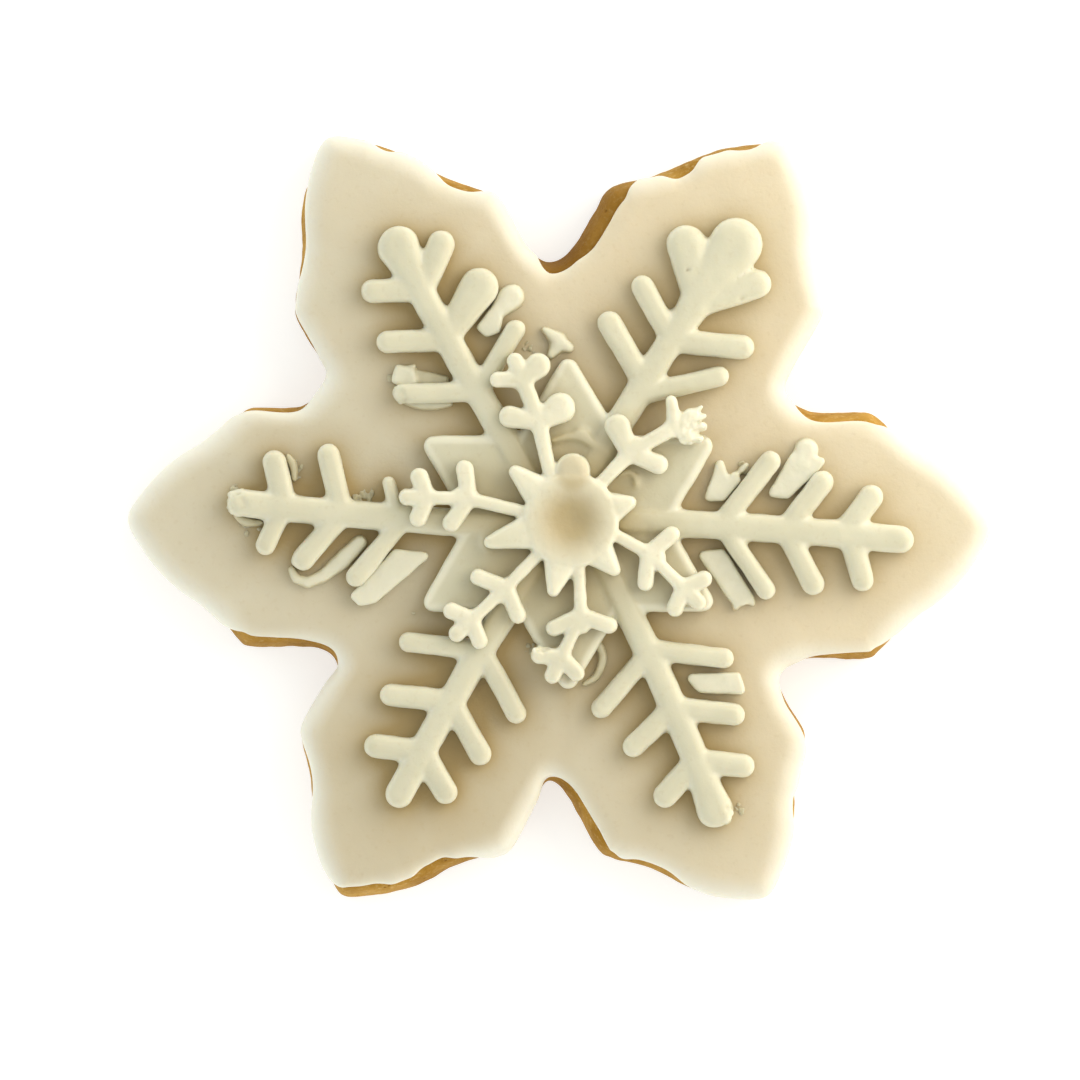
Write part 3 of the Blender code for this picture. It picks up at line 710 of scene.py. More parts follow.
def bars_tree(material):
    """Node tree that lays overlapping pucks along bars, sized by the bars' own attributes."""
    tree = new_tree("moulded_bars", (("Puck", "NodeSocketObject"), ("Spacing", "NodeSocketFloat")))
    nodes, link = tree.nodes, tree.links.new
    start = nodes.new("NodeGroupInput")
    curve = nodes.new("GeometryNodeMeshToCurve")
    sampled = nodes.new("GeometryNodeResampleCurve")
    sampled.mode = "LENGTH"
    puck = nodes.new("GeometryNodeObjectInfo")
    size = nodes.new("ShaderNodeCombineXYZ")
    for name, axes in (("half_width", ("X", "Y")), ("height", ("Z",))):
        value = stored_number(tree, name)
        for axis in axes:
            link(value, size.inputs[axis])
    link(start.outputs["Geometry"], curve.inputs["Mesh"])
    link(curve.outputs["Curve"], sampled.inputs["Curve"])
    link(start.outputs["Spacing"], sampled.inputs["Length"])
    link(start.outputs["Puck"], puck.inputs["Object"])
    lay_copies(tree, sampled.outputs["Curve"], puck.outputs["Geometry"], size.outputs["Vector"], material)
    return tree


def set_input(modifier, name, value):
    """Set a node modifier's named input by its socket identifier."""
    for item in modifier.node_group.interface.items_tree:
        if item.item_type == "SOCKET" and item.in_out == "INPUT" and item.name == name:
            modifier[item.identifier] = value
            return
    raise RuntimeError("the node tree has no input named " + name)


def bars_object(name, bars, base, spacing, material):
    """Mesh of many overlapping pucks along the bars."""
    mesh = bpy.data.meshes.new(name)
    points, halves, heights, edges = [], [], [], []
    for start, end, half, end_half, top in bars:
        edges.append((len(points), len(points) + 1))
        points += [(start.x * MM, start.y * MM, base * MM), (end.x * MM, end.y * MM, base * MM)]
        halves += [half * MM, end_half * MM]
        heights += [(top - base) * MM] * 2
    mesh.from_pydata(points, edges, [])
    for label, values in (("half_width", halves), ("height", heights)):
        mesh.attributes.new(label, "FLOAT", "POINT").data.foreach_set("value", values)
    item = new_object(name, mesh)
    puck = puck_object()
    modifier = item.modifiers.new("Bars", "NODES")
    modifier.node_group = bars_tree(material)
    set_input(modifier, "Puck", puck)
    set_input(modifier, "Spacing", spacing * MM)
    bake_modifiers(item)
    bpy.data.objects.remove(puck)
    return item


def rounded_slab(name, discs, base, top, edge, facets=10, steps=6):
    """Closed slab round some discs, with a rounded upper edge."""
    count = len(discs)
    sections = [(0.0, base), (0.0, top - edge)]
    for step in range(1, steps + 1):
        angle = 0.5 * math.pi * step / steps
        sections.append((edge * (1.0 - math.cos(angle)), top - edge + edge * math.sin(angle)))
    rings = []
    for inset, height in sections:
        ring = []
        for index, (centre, radius) in enumerate(discs):
            arriving = centre - discs[index - 1][0]
            leaving = discs[(index + 1) % count][0] - centre
            first = math.atan2(-arriving.x, arriving.y)
            sweep = (math.atan2(-leaving.x, leaving.y) - first) % (2.0 * math.pi)
            for facet in range(facets + 1):
                angle = first + sweep * facet / facets
                reach = radius - inset
                ring.append((centre.x + reach * math.cos(angle), centre.y + reach * math.sin(angle), height))
        rings.append(np.array(ring))
    return shell(name, rings)


def join_meshes(name, items):
    """One object holding the meshes of several, which are removed."""
    bm = bmesh.new()
    for item in items:
        bm.from_mesh(item.data)
    mesh = bpy.data.meshes.new(name)
    bm.to_mesh(mesh)
    bm.free()
    for item in items:
        bpy.data.objects.remove(item)
    return new_object(name, mesh)


def melt(item, voxel, smoothing):
    """Fuse overlapping closed meshes into one skin with softened corners."""
    remesh = item.modifiers.new("Skin", "REMESH")
    remesh.mode = "VOXEL"
    remesh.voxel_size = voxel * MM
    remesh.use_smooth_shade = True
    soften = item.modifiers.new("Soften", "SMOOTH")
    soften.factor = 0.5
    soften.iterations = smoothing
    return bake_modifiers(item)


def roughen(mesh, layers):
    """Move the vertices along their normals by layers of noise."""
    points = read_points(mesh)
    write_points(mesh, points + read_normals(mesh) * layered_noise(points, layers)[:, None])


# Materials

def new_material(name, roughness, subsurface, subsurface_radius):
    """Material with its shader's even values set on the shader itself."""
    material = bpy.data.materials.new(name)
    material.use_nodes = True
    shader = material.node_tree.nodes["Principled BSDF"]
    shader.inputs["Roughness"].default_value = roughness
    shader.inputs["IOR"].default_value = 1.45
    shader.inputs["Subsurface Weight"].default_value = subsurface
    shader.inputs["Subsurface Radius"].default_value = (1.0, 0.75, 0.45)
    shader.inputs["Subsurface Scale"].default_value = subsurface_radius * MM
    return material, shader


def set_range(node, low, high, low_out, high_out):
    """Set the two ranges of a node that maps one to the other."""
    for name, number in (("From Min", low), ("From Max", high), ("To Min", low_out), ("To Max", high_out)):
        node.inputs[name].default_value = number


class Painter:
    """Small helper that adds and links nodes of one material."""

    def __init__(self, material):
        self.nodes = material.node_tree.nodes
        self.link = material.node_tree.links.new
        self.place = self.nodes.new("ShaderNodeTexCoord").outputs["Object"]

    def noise(self, size, detail=3.0, roughness=0.5):
        """Noise with features of a size in millimetres."""
        node = self.nodes.new("ShaderNodeTexNoise")
        node.inputs["Scale"].default_value = 1.0 / (size * MM)
        node.inputs["Detail"].default_value = detail
        node.inputs["Roughness"].default_value = roughness
        self.link(self.place, node.inputs["Vector"])
        return node.outputs["Fac"]

    def cells(self, size):
        """Distance to the nearest of many scattered points, with cells of a size in millimetres."""
        node = self.nodes.new("ShaderNodeTexVoronoi")
        node.inputs["Scale"].default_value = 1.0 / (size * MM)
        self.link(self.place, node.inputs["Vector"])
        return node.outputs["Distance"]

    def attribute(self, name):
        """A number stored on the mesh."""
        node = self.nodes.new("ShaderNodeAttribute")
        node.attribute_name = name
        return node.outputs["Fac"]

    def ramp(self, value, low, high, low_out=0.0, high_out=1.0):
        """Map a value range to another with soft ends."""
        node = self.nodes.new("ShaderNodeMapRange")
        node.interpolation_type = "SMOOTHSTEP"
        set_range(node, low, high, low_out, high_out)
        self.link(value, node.inputs["Value"])
        return node.outputs["Result"]

    def mix(self, share, first, second):
        """Mix of two colours, each a setting or a node's output."""
        node = self.nodes.new("ShaderNodeMix")
        node.data_type = "RGBA"
        self.link(share, node.inputs["Factor"])
        for socket, colour in ((node.inputs[6], first), (node.inputs[7], second)):
            if isinstance(colour, bpy.types.NodeSocket):
                self.link(colour, socket)
            else:
                socket.default_value = (*colour, 1.0)
        return node.outputs[2]

    def bumps(self, shader, layers):
        """Chain of bumps on a shader: height output and depth in millimetres."""
        normal = None
        for height, depth in layers:
            node = self.nodes.new("ShaderNodeBump")
            node.inputs["Distance"].default_value = depth * MM
            self.link(height, node.inputs["Height"])
            if normal is not None:
                self.link(normal, node.inputs["Normal"])
            normal = node.outputs["Normal"]
        self.link(normal, shader.inputs["Normal"])


def cream_material(name, settings, main, roughness, subsurface, warm=None):
    """Set confectionery coating: soft colour patches, painted shade and highlight, a fine satin skin."""
    material, shader = new_material(name, roughness, subsurface, 1.6)
    paint = Painter(material)
    patches = paint.ramp(paint.noise(9.0, 3.0, 0.55), 0.35, 0.68)
    colour = paint.mix(patches, main, settings.pale)
    if warm is not None:
        colour = paint.mix(paint.attribute("warmth"), colour, warm)
    freckles = paint.ramp(paint.noise(0.7, 2.0, 0.6), 0.56, 0.74, 0.0, 0.12)
    colour = paint.mix(freckles, colour, settings.shaded)
    # Painted shade: the 'shade' attribute mixes in the tan or honey colour
    colour = paint.mix(paint.attribute("shade"), colour, settings.shaded)
    # Painted highlight: the 'rim' attribute mixes in the pale rim colour
    colour = paint.mix(paint.attribute("rim"), colour, settings.rim)
    paint.link(colour, shader.inputs["Base Color"])
    satin = paint.ramp(paint.noise(2.4), 0.3, 0.7, roughness - 0.07, roughness + 0.09)
    paint.link(satin, shader.inputs["Roughness"])
    paint.bumps(shader, ((paint.noise(3.5, 2.0), 0.10), (paint.noise(0.45, 4.0, 0.6), 0.035)))
    return material


def crust_material(settings):
    """Baked dough: golden with darker browned patches, dry, with pores and fine cracks."""
    material, shader = new_material("baked_crust", 0.8, 0.05, 0.6)
    shader.inputs["Specular IOR Level"].default_value = 0.12
    paint = Painter(material)
    tone = paint.ramp(paint.noise(6.0, 5.0, 0.6), 0.36, 0.66)
    colour = paint.mix(tone, settings.golden, settings.browned)
    grains = paint.ramp(paint.noise(0.6, 4.0, 0.65), 0.5, 0.72, 0.0, 0.55)
    colour = paint.mix(grains, colour, settings.pale)
    # Browned foot and scorched patches, with painted shade on the notch walls, mixed towards the dark colour
    colour = paint.mix(paint.attribute("browning"), colour, settings.dark)
    # Painted shade inside the pores of the crust
    pores = paint.ramp(paint.cells(1.3), 0.06, 0.16, 0.75, 0.0)
    colour = paint.mix(pores, colour, settings.dark)
    paint.link(colour, shader.inputs["Base Color"])
    depth = paint.ramp(paint.cells(1.3), 0.0, 0.22)
    paint.bumps(shader, ((depth, 0.12), (paint.noise(0.5, 5.0, 0.65), 0.12), (paint.noise(2.5, 3.0), 0.2)))
    return material


# Sizes and colours that a user would change

class DoughSettings(bpy.types.PropertyGroup):
    """Baked dough."""

    lumpiness: FloatProperty(name="Lumpiness", description="Depth of the soft lumps in the dough's wall",
                             default=0.00016, unit="LENGTH")
    golden: FloatVectorProperty(name="Golden", description="Main colour of the baked wall",
                                default=(0.475, 0.27, 0.055), subtype="COLOR")
    browned: FloatVectorProperty(name="Browned", description="Colour of the patches baked darker",
                                 default=(0.32, 0.162, 0.018), subtype="COLOR")
    pale: FloatVectorProperty(name="Pale crumb", description="Colour of the pale grains in the wall",
                              default=(0.59, 0.41, 0.165), subtype="COLOR")
    # Dark colour: the browned foot, with painted shade inside the pores and on the notch walls
    dark: FloatVectorProperty(name="Dark", description="Colour inside pores and along the foot",
                              default=(0.19, 0.085, 0.01), subtype="COLOR")


class CoatingSettings(bpy.types.PropertyGroup):
    """Poured coating."""

    edge_softness: FloatProperty(name="Edge softness", description="Width over which the edge rounds off",
                                 default=0.0023, unit="LENGTH")
    waviness: FloatProperty(name="Waviness", description="Height of the soft waves in the coating's top",
                            default=0.00016, unit="LENGTH")
    edge_wander: FloatProperty(name="Edge wander", description="How much a drawn-back edge wanders",
                               default=0.00022, unit="LENGTH")
    base: FloatVectorProperty(name="Cream", description="Main colour of the coating",
                              default=(0.64, 0.60, 0.468), subtype="COLOR")
    pale: FloatVectorProperty(name="Pale cream", description="Colour of the paler patches",
                              default=(0.67, 0.645, 0.518), subtype="COLOR")
    warm: FloatVectorProperty(name="Warm cream", description="Colour of the coating on its yellower side",
                              default=(0.70, 0.585, 0.39), subtype="COLOR")
    # Tan: colour of the painted shade beside and among the large flake's bars
    shaded: FloatVectorProperty(name="Tan", description="Colour of the coating beside the large flake",
                                default=(0.43, 0.315, 0.14), subtype="COLOR")
    # Rim: colour of the painted highlight along the coating's round edge
    rim: FloatVectorProperty(name="Rim", description="Colour of the coating's thin round edge",
                             default=(0.80, 0.78, 0.68), subtype="COLOR")


class FlakeSettings(bpy.types.PropertyGroup):
    """Both moulded snowflakes."""

    skin: FloatProperty(name="Mesh fineness", description="Voxel size of the large flake's skin",
                        default=0.00025, unit="LENGTH")
    fine_skin: FloatProperty(name="Fine mesh", description="Voxel size of the small flake's skin",
                             default=0.00016, unit="LENGTH")
    softening: IntProperty(name="Softening", description="Rounds of smoothing of moulded edges", default=7)
    crumb_seed: IntProperty(name="Crumb seed", description="Seed of the crumbs' places and shapes", default=7)
    base: FloatVectorProperty(name="Ivory", description="Main colour of the large flake",
                              default=(0.59, 0.565, 0.415), subtype="COLOR")
    pale: FloatVectorProperty(name="Pale ivory", description="Colour of its paler patches",
                              default=(0.635, 0.61, 0.455), subtype="COLOR")
    fine: FloatVectorProperty(name="Fine ivory", description="Main colour of the small flake",
                              default=(0.73, 0.70, 0.54), subtype="COLOR")
    # Honey: colour of the painted shade in the hub's dish, under the small flake and low on stuck pieces
    shaded: FloatVectorProperty(name="Honey", description="Colour in the hub's dish and in thin places",
                                default=(0.42, 0.33, 0.165), subtype="COLOR")
    # Rim: colour of the painted highlight along the bars' upper edges
    rim: FloatVectorProperty(name="Rim", description="Colour of the bars' thin round edges",
                             default=(0.77, 0.75, 0.61), subtype="COLOR")


class StageSettings(bpy.types.PropertyGroup):
    """Floor, light and camera."""

    floor_colour: FloatVectorProperty(name="Floor", description="Colour of the floor",
                                      default=(0.58, 0.59, 0.575), subtype="COLOR")
    floor_glow: FloatProperty(name="Floor glow", description="Light that the floor gives off", default=0.6)
    light: FloatProperty(name="Light", description="Strength of the light from all sides", default=1.145)
    side_light: FloatProperty(name="Side light", description="Warm light from the right, in W", default=0.37)
    distance: FloatProperty(name="Camera height", description="Height of the camera above the biscuit",
                            default=1.5, unit="LENGTH")


def settings_of(name):
    """One of the biscuit's groups of settings."""
    return getattr(bpy.context.scene, name)


# Pieces

def make_dough():
    """Fine skin of the baked dough in place of its solid."""
    settings = settings_of("biscuit_dough")
    outline = biscuit_outline()
    normals, deep = loop_normals(outline), soft_normals(outline)
    lump = settings.lumpiness / MM
    rings = []
    for offset, height in DOUGH_SECTION:
        share = smoothstep(-offset / 2.0 - 0.3)
        facing = normals * (1.0 - share) + deep * share
        points = drawn_in(outline + facing * offset, 1.0, height)
        weight = smoothstep(height / 0.6) * smoothstep((7.6 - height) / 1.2)
        bulge = lump * (layered_noise(points, WALL_LUMPS) - 0.6) * weight
        points[:, :2] += facing * np.minimum(LUMP_LIMIT, bulge)[:, None]
        rings.append(points)
    under = [drawn_in(rings[0], share, 0.0) for share in (0.3, 0.6, 0.9, 0.985)]
    top = [drawn_in(rings[-1], share, DOUGH_TOP) for share in (0.95, 0.6)]
    dough = shell("baked_dough", under + rings + top)
    points = read_points(dough.data)
    foot = smoothstep(1.0 - points[:, 2] / 1.3)
    scorched = smoothstep(field_noise(points, 7.0, 8.0) * 1.5)
    headings = headings_of(points)
    # Painted shade on the notch walls, mixed in with the browned foot and the scorched patches
    notch_shade = np.zeros(len(points))
    for heading, half, share in NOTCH_SHADE:
        notch_shade = np.maximum(notch_shade, share * smoothstep(1.3 * (1.0 - np.abs(headings - heading) / half)))
    write_share(dough.data, "browning", 0.45 * foot + 0.25 * scorched + notch_shade)
    finish_piece(dough, crust_material(settings), ["biscuit"])


def coating_rings(settings):
    """Rings of the coating from its hidden underside round the lip and over the top."""
    outline = biscuit_outline()
    normals, deep = loop_normals(outline), soft_normals(outline)
    bare = bare_depths(outline, settings.edge_wander / MM)
    hang = np.maximum(0.0, 1.0 - bare / LIP_FADE)
    soft = settings.edge_softness / MM
    low = COATING_FOOT + 0.05 - hang * LIP_DROP
    low += 0.22 * hang * field_noise(np.column_stack((outline, bare)), 4.0, 21.0)
    headings = headings_of(outline)
    for heading, half, drop, bulge in DRIPS:
        run = smoothstep(1.0 - np.abs(headings - heading) / half)
        low -= drop * run
        bare = bare - (bare + bulge) * run * 0.7
    waist = low + 0.45
    levels = [
        (bare + 2.6, np.full(len(bare), COATING_FOOT)),
        (np.maximum(bare + 0.42, 1.3 - hang * 0.7), np.minimum(COATING_FOOT, low + 0.5)),
        (bare + 0.3, low + 0.06),
        (bare + 0.16, low),
        (bare + 0.05, low + 0.09),
        (bare + 0.01, low + 0.24),
    ]
    for step in range(LIP_STEPS + 1):
        angle = 0.5 * math.pi * step / LIP_STEPS
        height = waist + (COATING_TOP - waist) * math.sin(angle) ** 0.9
        levels.append((bare + soft * (1.0 - math.cos(angle)), height))
    rings = []
    for inset, height in levels:
        share = smoothstep((inset - 0.5) / 1.5)[:, None]
        facing = normals * (1.0 - share) + deep * share
        rings.append(np.column_stack((outline - facing * inset[:, None], height)))
    return rings


def make_coating():
    """Fine skin of the poured coating, tinted tan with painted shade beside the large flake."""
    settings = settings_of("biscuit_coating")
    rings = coating_rings(settings)
    edge = rings[-1]
    rings += [drawn_in(edge, 1.0 - ring / INNER_RINGS, edge[:, 2]) for ring in range(1, INNER_RINGS)]
    coating = shell("poured_coating", rings)
    points = read_points(coating.data)
    flat = points[:, :2]
    top = smoothstep((points[:, 2] - COATING_TOP + 1.0) / 1.0)
    wave = settings.waviness / MM
    lift = layered_noise(points, [(size, share * wave, seed) for size, share, seed in TOP_WAVES])
    points[:, 2] += top * (lift - wave)
    write_points(coating.data, points)
    # Painted shade in tan, fading out from the large flake's bars and plate, strongest among the bars, darker
    # on the cool and lower side
    gap = np.maximum(0.0, np.minimum(bar_distance(flat, large_flake_bars()), plate_distance(flat)))
    closeness = sum(share * np.exp(-gap / reach) for share, reach in CLOSE_FADES)
    closeness += CROWD_SHADE * crowding(flat, large_flake_bars(), True, CROWD_SPREAD)
    sideways = flat @ np.array(polar(WARM_HEADING, 1.0))
    warmth = smoothstep(0.5 + sideways / WARM_WIDTH)
    dusk = smoothstep(-flat[:, 1] / DUSK_REACH) * (1.0 - warmth)
    shade = closeness + COOL_SHADE * (1.0 - warmth) + DUSK_SHADE * dusk
    write_share(coating.data, "shade", top * shade * (1.0 - WARM_RELIEF * warmth))
    # Painted highlight along the coating's round outer edge
    write_share(coating.data, "rim", rim_share(coating.data, settings.edge_softness / MM))
    write_share(coating.data, "warmth", WARM_SHARE * warmth)
    material = cream_material("coating_cream", settings, settings.base, 0.42, 0.25, settings.warm)
    finish_piece(coating, material, ["coating"])


def rim_share(mesh, soft):
    """How near the coating's outer edge each vertex lies, from its place in the rings."""
    points = read_points(mesh)[:, :2]
    outer = biscuit_outline()
    rings = len(points) // len(outer)
    inset = np.linalg.norm(points[:rings * len(outer)] - np.tile(outer, (rings, 1)), axis=1)
    share = np.zeros(len(points))
    share[:len(inset)] = smoothstep(1.0 - inset / (1.3 * soft))
    # Share of the painted highlight on the round edge
    return 0.7 * share


def curl_bars(low, high):
    """Bars of the curls that lie between two heights, thinner towards their ends."""
    bars = []
    for base, half, path in CURLS:
        if not low < base < high:
            continue
        places = smooth_path(path)
        last = len(places) - 1
        halves = [half * (1.0 - 0.5 * abs(2.0 * index / last - 1.0) ** 2) for index in range(last + 1)]
        for index in range(last):
            start, end = places[index], places[index + 1]
            bars.append((start, end, halves[index], halves[index + 1], base + 0.35 + half))
    return bars


def smooth_path(path):
    """Points of an open Catmull-Rom curve through a path."""
    knots = [Vector(place) for place in (path[0], *path, path[-1])]
    places = []
    for span in zip(knots, knots[1:], knots[2:], knots[3:]):
        places += [curve_point(*span, sample / CURL_SAMPLES) for sample in range(CURL_SAMPLES)]
    return places + [knots[-1]]


def make_stray_bars():
    """Broken bars, slabs and curls that stuck to the coating between the branches."""
    settings = settings_of("biscuit_flakes")
    material = cream_material("stray_ivory", settings, settings.base, 0.4, 0.3)
    root, top = COATING_TOP - STUCK_ROOT, COATING_TOP - MELT_LOSS
    bars = []
    for start, end, half, end_half, height in STUCK_BARS:
        bars.append((Vector(start), Vector(end), half, end_half, top + height))
    bars += curl_bars(0.0, COATING_TOP)
    parts = [bars_object("bars", bars, root, FINE_SPACING, material)]
    for corners, height in STUCK_SLABS:
        discs = [(Vector(corner), SLAB_CORNER) for corner in corners]
        parts.append(rounded_slab("slab", discs, root, top + height, SLAB_EDGE))
    item = join_meshes("stuck_bars", parts)
    melt(item, settings.fine_skin / MM, settings.softening + 3)
    roughen(item.data, STUCK_GRAIN)
    heights = read_points(item.data)[:, 2]
    # Painted shade low down by the coating, painted highlight high up
    write_share(item.data, "shade", STUCK_SHADE * smoothstep((COATING_TOP + 1.05 - heights) / STUCK_FADE))
    write_share(item.data, "rim", STUCK_RIM * smoothstep((heights - COATING_TOP - 0.6) / STUCK_FADE))
    finish_piece(item, material, ["coating"])


def crumbs_tree(material):
    """Node tree that lays a lumpy crumb on each point, sized by the point and turned at random."""
    tree = new_tree("scattered_crumbs", (("Seed", "NodeSocketInt"),))
    nodes, link = tree.nodes, tree.links.new
    start = nodes.new("NodeGroupInput")
    ball = nodes.new("GeometryNodeMeshIcoSphere")
    ball.inputs["Radius"].default_value = 1.0
    ball.inputs["Subdivisions"].default_value = 2
    turn, stretch = nodes.new("FunctionNodeRandomValue"), nodes.new("FunctionNodeRandomValue")
    for node, low, high in ((turn, 0.0, 2.0 * math.pi), (stretch, 0.55, 1.3)):
        node.data_type = "FLOAT_VECTOR"
        node.inputs[0].default_value = (low, low, low)
        node.inputs[1].default_value = (high, high, high)
        link(start.outputs["Seed"], node.inputs["Seed"])
    scaled = nodes.new("ShaderNodeVectorMath")
    scaled.operation = "SCALE"
    link(stretch.outputs[0], scaled.inputs[0])
    link(stored_number(tree, "size"), scaled.inputs["Scale"])
    crumbs = lay_copies(
        tree, start.outputs["Geometry"], ball.outputs["Mesh"], scaled.outputs["Vector"], material)
    link(turn.outputs[0], crumbs.inputs["Rotation"])
    return tree


def make_crumbs():
    """Crumbs of coating caught along the flake, half sunk in what they lie on."""
    settings = settings_of("biscuit_flakes")
    material = cream_material("crumb_ivory", settings, settings.base, 0.5, 0.3)
    draw = np.random.RandomState(settings.crumb_seed)
    points, sizes = [], []
    for middle, reach, count, size in CRUMB_PATCHES:
        for _ in range(count):
            place = Vector(middle) + polar(draw.uniform(0.0, 360.0), reach * draw.uniform(0.0, 1.0) ** 0.8)
            points.append((place.x * MM, place.y * MM, CRUMB_BASE * MM))
            sizes.append(size * draw.uniform(*CRUMB_SIZES) * MM)
    mesh = bpy.data.meshes.new("coating_crumbs")
    mesh.from_pydata(points, [], [])
    mesh.attributes.new("size", "FLOAT", "POINT").data.foreach_set("value", sizes)
    item = new_object("coating_crumbs", mesh)
    modifier = item.modifiers.new("Crumbs", "NODES")
    modifier.node_group = crumbs_tree(material)
    set_input(modifier, "Seed", settings.crumb_seed)
    bake_modifiers(item)
    melt(item, CRUMB_SKIN, 2)
    roughen(item.data, CRUMB_GRAIN)
    points = read_points(item.data)
    points[:, 2] = CRUMB_BASE + CRUMB_FLATNESS * (points[:, 2] - CRUMB_BASE)
    write_points(item.data, points)
    write_share(item.data, "shade", np.full(len(points), CRUMB_SHADE))
    write_share(item.data, "rim", np.zeros(len(points)))
    finish_piece(item, material, ["coating"])


def bar_rim(mesh, gap, low):
    """How near a bar's upper edge each vertex lies: 1 at the edge, 0 on the flat and low down."""
    high = smoothstep((read_points(mesh)[:, 2] - low) / RIM_HEIGHT)
    # Share of the painted highlight along the upper edge
    return BAR_RIM * smoothstep(1.0 + gap / RIM_WIDTH) * high


def make_ragged(mesh, low):
    """Tear the moulded edges in the ragged places, above a height."""
    points, normals = read_points(mesh), read_normals(mesh)
    amount = np.zeros(len(points))
    for middle, reach in RAGGED:
        away = plan_distance(points, middle)
        amount = np.maximum(amount, smoothstep(1.6 * (1.0 - away / reach)))
    amount *= smoothstep((points[:, 2] - low) / 0.5)
    chosen = amount > 0.0
    tear = np.zeros(len(points))
    tear[chosen] = layered_noise(points[chosen], RAGGED_TEARS)
    write_points(mesh, points + normals * (amount * tear)[:, None] * np.array((1.0, 1.0, 0.45)))


def pore_depths(points, low):
    """Depth of the small pores at each point that lies above a height, from 0 to 1."""
    depth = np.zeros(len(points))
    for place, radius in PORES:
        depth = np.maximum(depth, np.exp(-((plan_distance(points, place) / radius) ** 2)))
    return depth * (points[:, 2] > low)


def make_large_flake():
    """Skin of the large moulded flake, its bars and plate melted together."""
    settings = settings_of("biscuit_flakes")
    material = cream_material("large_ivory", settings, settings.base, 0.4, 0.3)
    curls = curl_bars(COATING_TOP, SMALL_TOP)
    parts = [bars_object("bars", large_flake_bars(), LARGE_BASE, LARGE_SPACING, material)]
    parts.append(bars_object("curls", curls, PLATE_TOP - 0.5, CURL_SPACING, material))
    reach = PLATE_REACH - PLATE_CORNER_RADIUS
    for turn in (30, 90):
        discs = [(PLATE_CENTRE + polar(turn + 120 * k, reach), PLATE_CORNER_RADIUS) for k in range(3)]
        parts.append(rounded_slab("plate", discs, LARGE_BASE, PLATE_TOP, PLATE_EDGE))
    flake = join_meshes("large_snowflake", parts)
    melt(flake, settings.skin / MM, settings.softening)
    roughen(flake.data, LARGE_GRAIN)
    make_ragged(flake.data, LARGE_BASE + 0.2)
    points = read_points(flake.data)
    flat = points[:, :2]
    pores = pore_depths(points, PLATE_TOP - 0.5)
    crowd = crowding(flat, small_flake_bars() + hub_bars(), False, NEST_SPREAD)
    middle = smoothstep(1.6 - plan_distance(points, PLATE_CENTRE) / 9.5)
    # Painted shade among the small flake's bars above, in the plate's middle and in the pores
    write_share(flake.data, "shade", NEST_SHADE * crowd + MIDDLE_SHADE * middle + PORE_SHADE * pores)
    gap = np.minimum(bar_distance(flat, large_flake_bars()), plate_distance(flat))
    # Painted highlight along the bars' upper edges, none in the pores
    write_share(flake.data, "rim", bar_rim(flake.data, gap, LARGE_BASE + 1.0) * (1.0 - pores))
    points[:, 2] -= PORE_DEPTH * pores
    write_points(flake.data, points)
    finish_piece(flake, material, ["large_flake"])


def make_small_flake():
    """Skin of the small moulded flake, its hub hollowed to a shallow dish."""
    settings = settings_of("biscuit_flakes")
    material = cream_material("small_ivory", settings, settings.fine, 0.38, 0.3)
    bars = small_flake_bars() + hub_bars()
    step = Vector((0.01, 0.0))
    discs = ((HUB_CENTRE - step, HUB_RADIUS), (HUB_CENTRE + step, HUB_RADIUS))
    parts = [bars_object("bars", bars, SMALL_BASE, FINE_SPACING, material)]
    parts.append(rounded_slab("hub", discs, SMALL_BASE, HUB_TOP, HUB_EDGE, HUB_FACETS))
    flake = join_meshes("small_snowflake", parts)
    melt(flake, settings.fine_skin / MM, settings.softening)
    roughen(flake.data, SMALL_GRAIN)
    make_ragged(flake.data, SMALL_BASE + 0.1)
    points = read_points(flake.data)
    radius = plan_distance(points, HUB_CENTRE)
    hollow = smoothstep(1.0 - radius / DISH_RADIUS)
    upper = smoothstep((points[:, 2] - HUB_TOP + 0.9) / 0.5)
    points[:, 2] -= DISH_DEPTH * hollow * upper
    write_points(flake.data, points)
    # Painted shade in the hub's dish and on its lobe
    lobe = smoothstep(1.9 - plan_distance(points, HUB_CENTRE + polar(HUB_LOBE[0], 5.4)) / 1.5)
    tint = DISH_SHADE * smoothstep(1.25 - radius / 4.4) + LOBE_SHADE * lobe
    write_share(flake.data, "shade", tint * upper)
    gap = np.minimum(bar_distance(points[:, :2], bars), radius - HUB_RADIUS)
    # Painted highlight along the bars' upper edges, none on the lobe
    write_share(flake.data, "rim", bar_rim(flake.data, gap, SMALL_BASE + 0.3) * (1.0 - lobe))
    finish_piece(flake, material, ["small_flake"])


def make_world(strength):
    """White surroundings that are brighter low down than overhead, warmer to the right."""
    world = bpy.data.worlds.new("studio")
    bpy.context.scene.world = world
    world.use_nodes = True
    nodes, link = world.node_tree.nodes, world.node_tree.links.new
    background = nodes["Background"]
    place = nodes.new("ShaderNodeTexCoord")
    split = nodes.new("ShaderNodeSeparateXYZ")
    height = nodes.new("ShaderNodeMapRange")
    height.interpolation_type = "SMOOTHSTEP"
    set_range(height, 0.15, 0.85, HORIZON_LIGHT * strength, OVERHEAD_LIGHT * strength)
    side = nodes.new("ShaderNodeMapRange")
    set_range(side, -1.0, 1.0, 0.0, 1.0)
    tint = nodes.new("ShaderNodeMix")
    tint.data_type = "RGBA"
    tint.inputs[6].default_value = COOL_TINT
    tint.inputs[7].default_value = WARM_TINT
    link(place.outputs["Generated"], split.inputs["Vector"])
    link(split.outputs["Z"], height.inputs["Value"])
    link(split.outputs["X"], side.inputs["Value"])
    link(side.outputs["Result"], tint.inputs["Factor"])
    link(tint.outputs[2], background.inputs["Color"])
    link(height.outputs["Result"], background.inputs["Strength"])


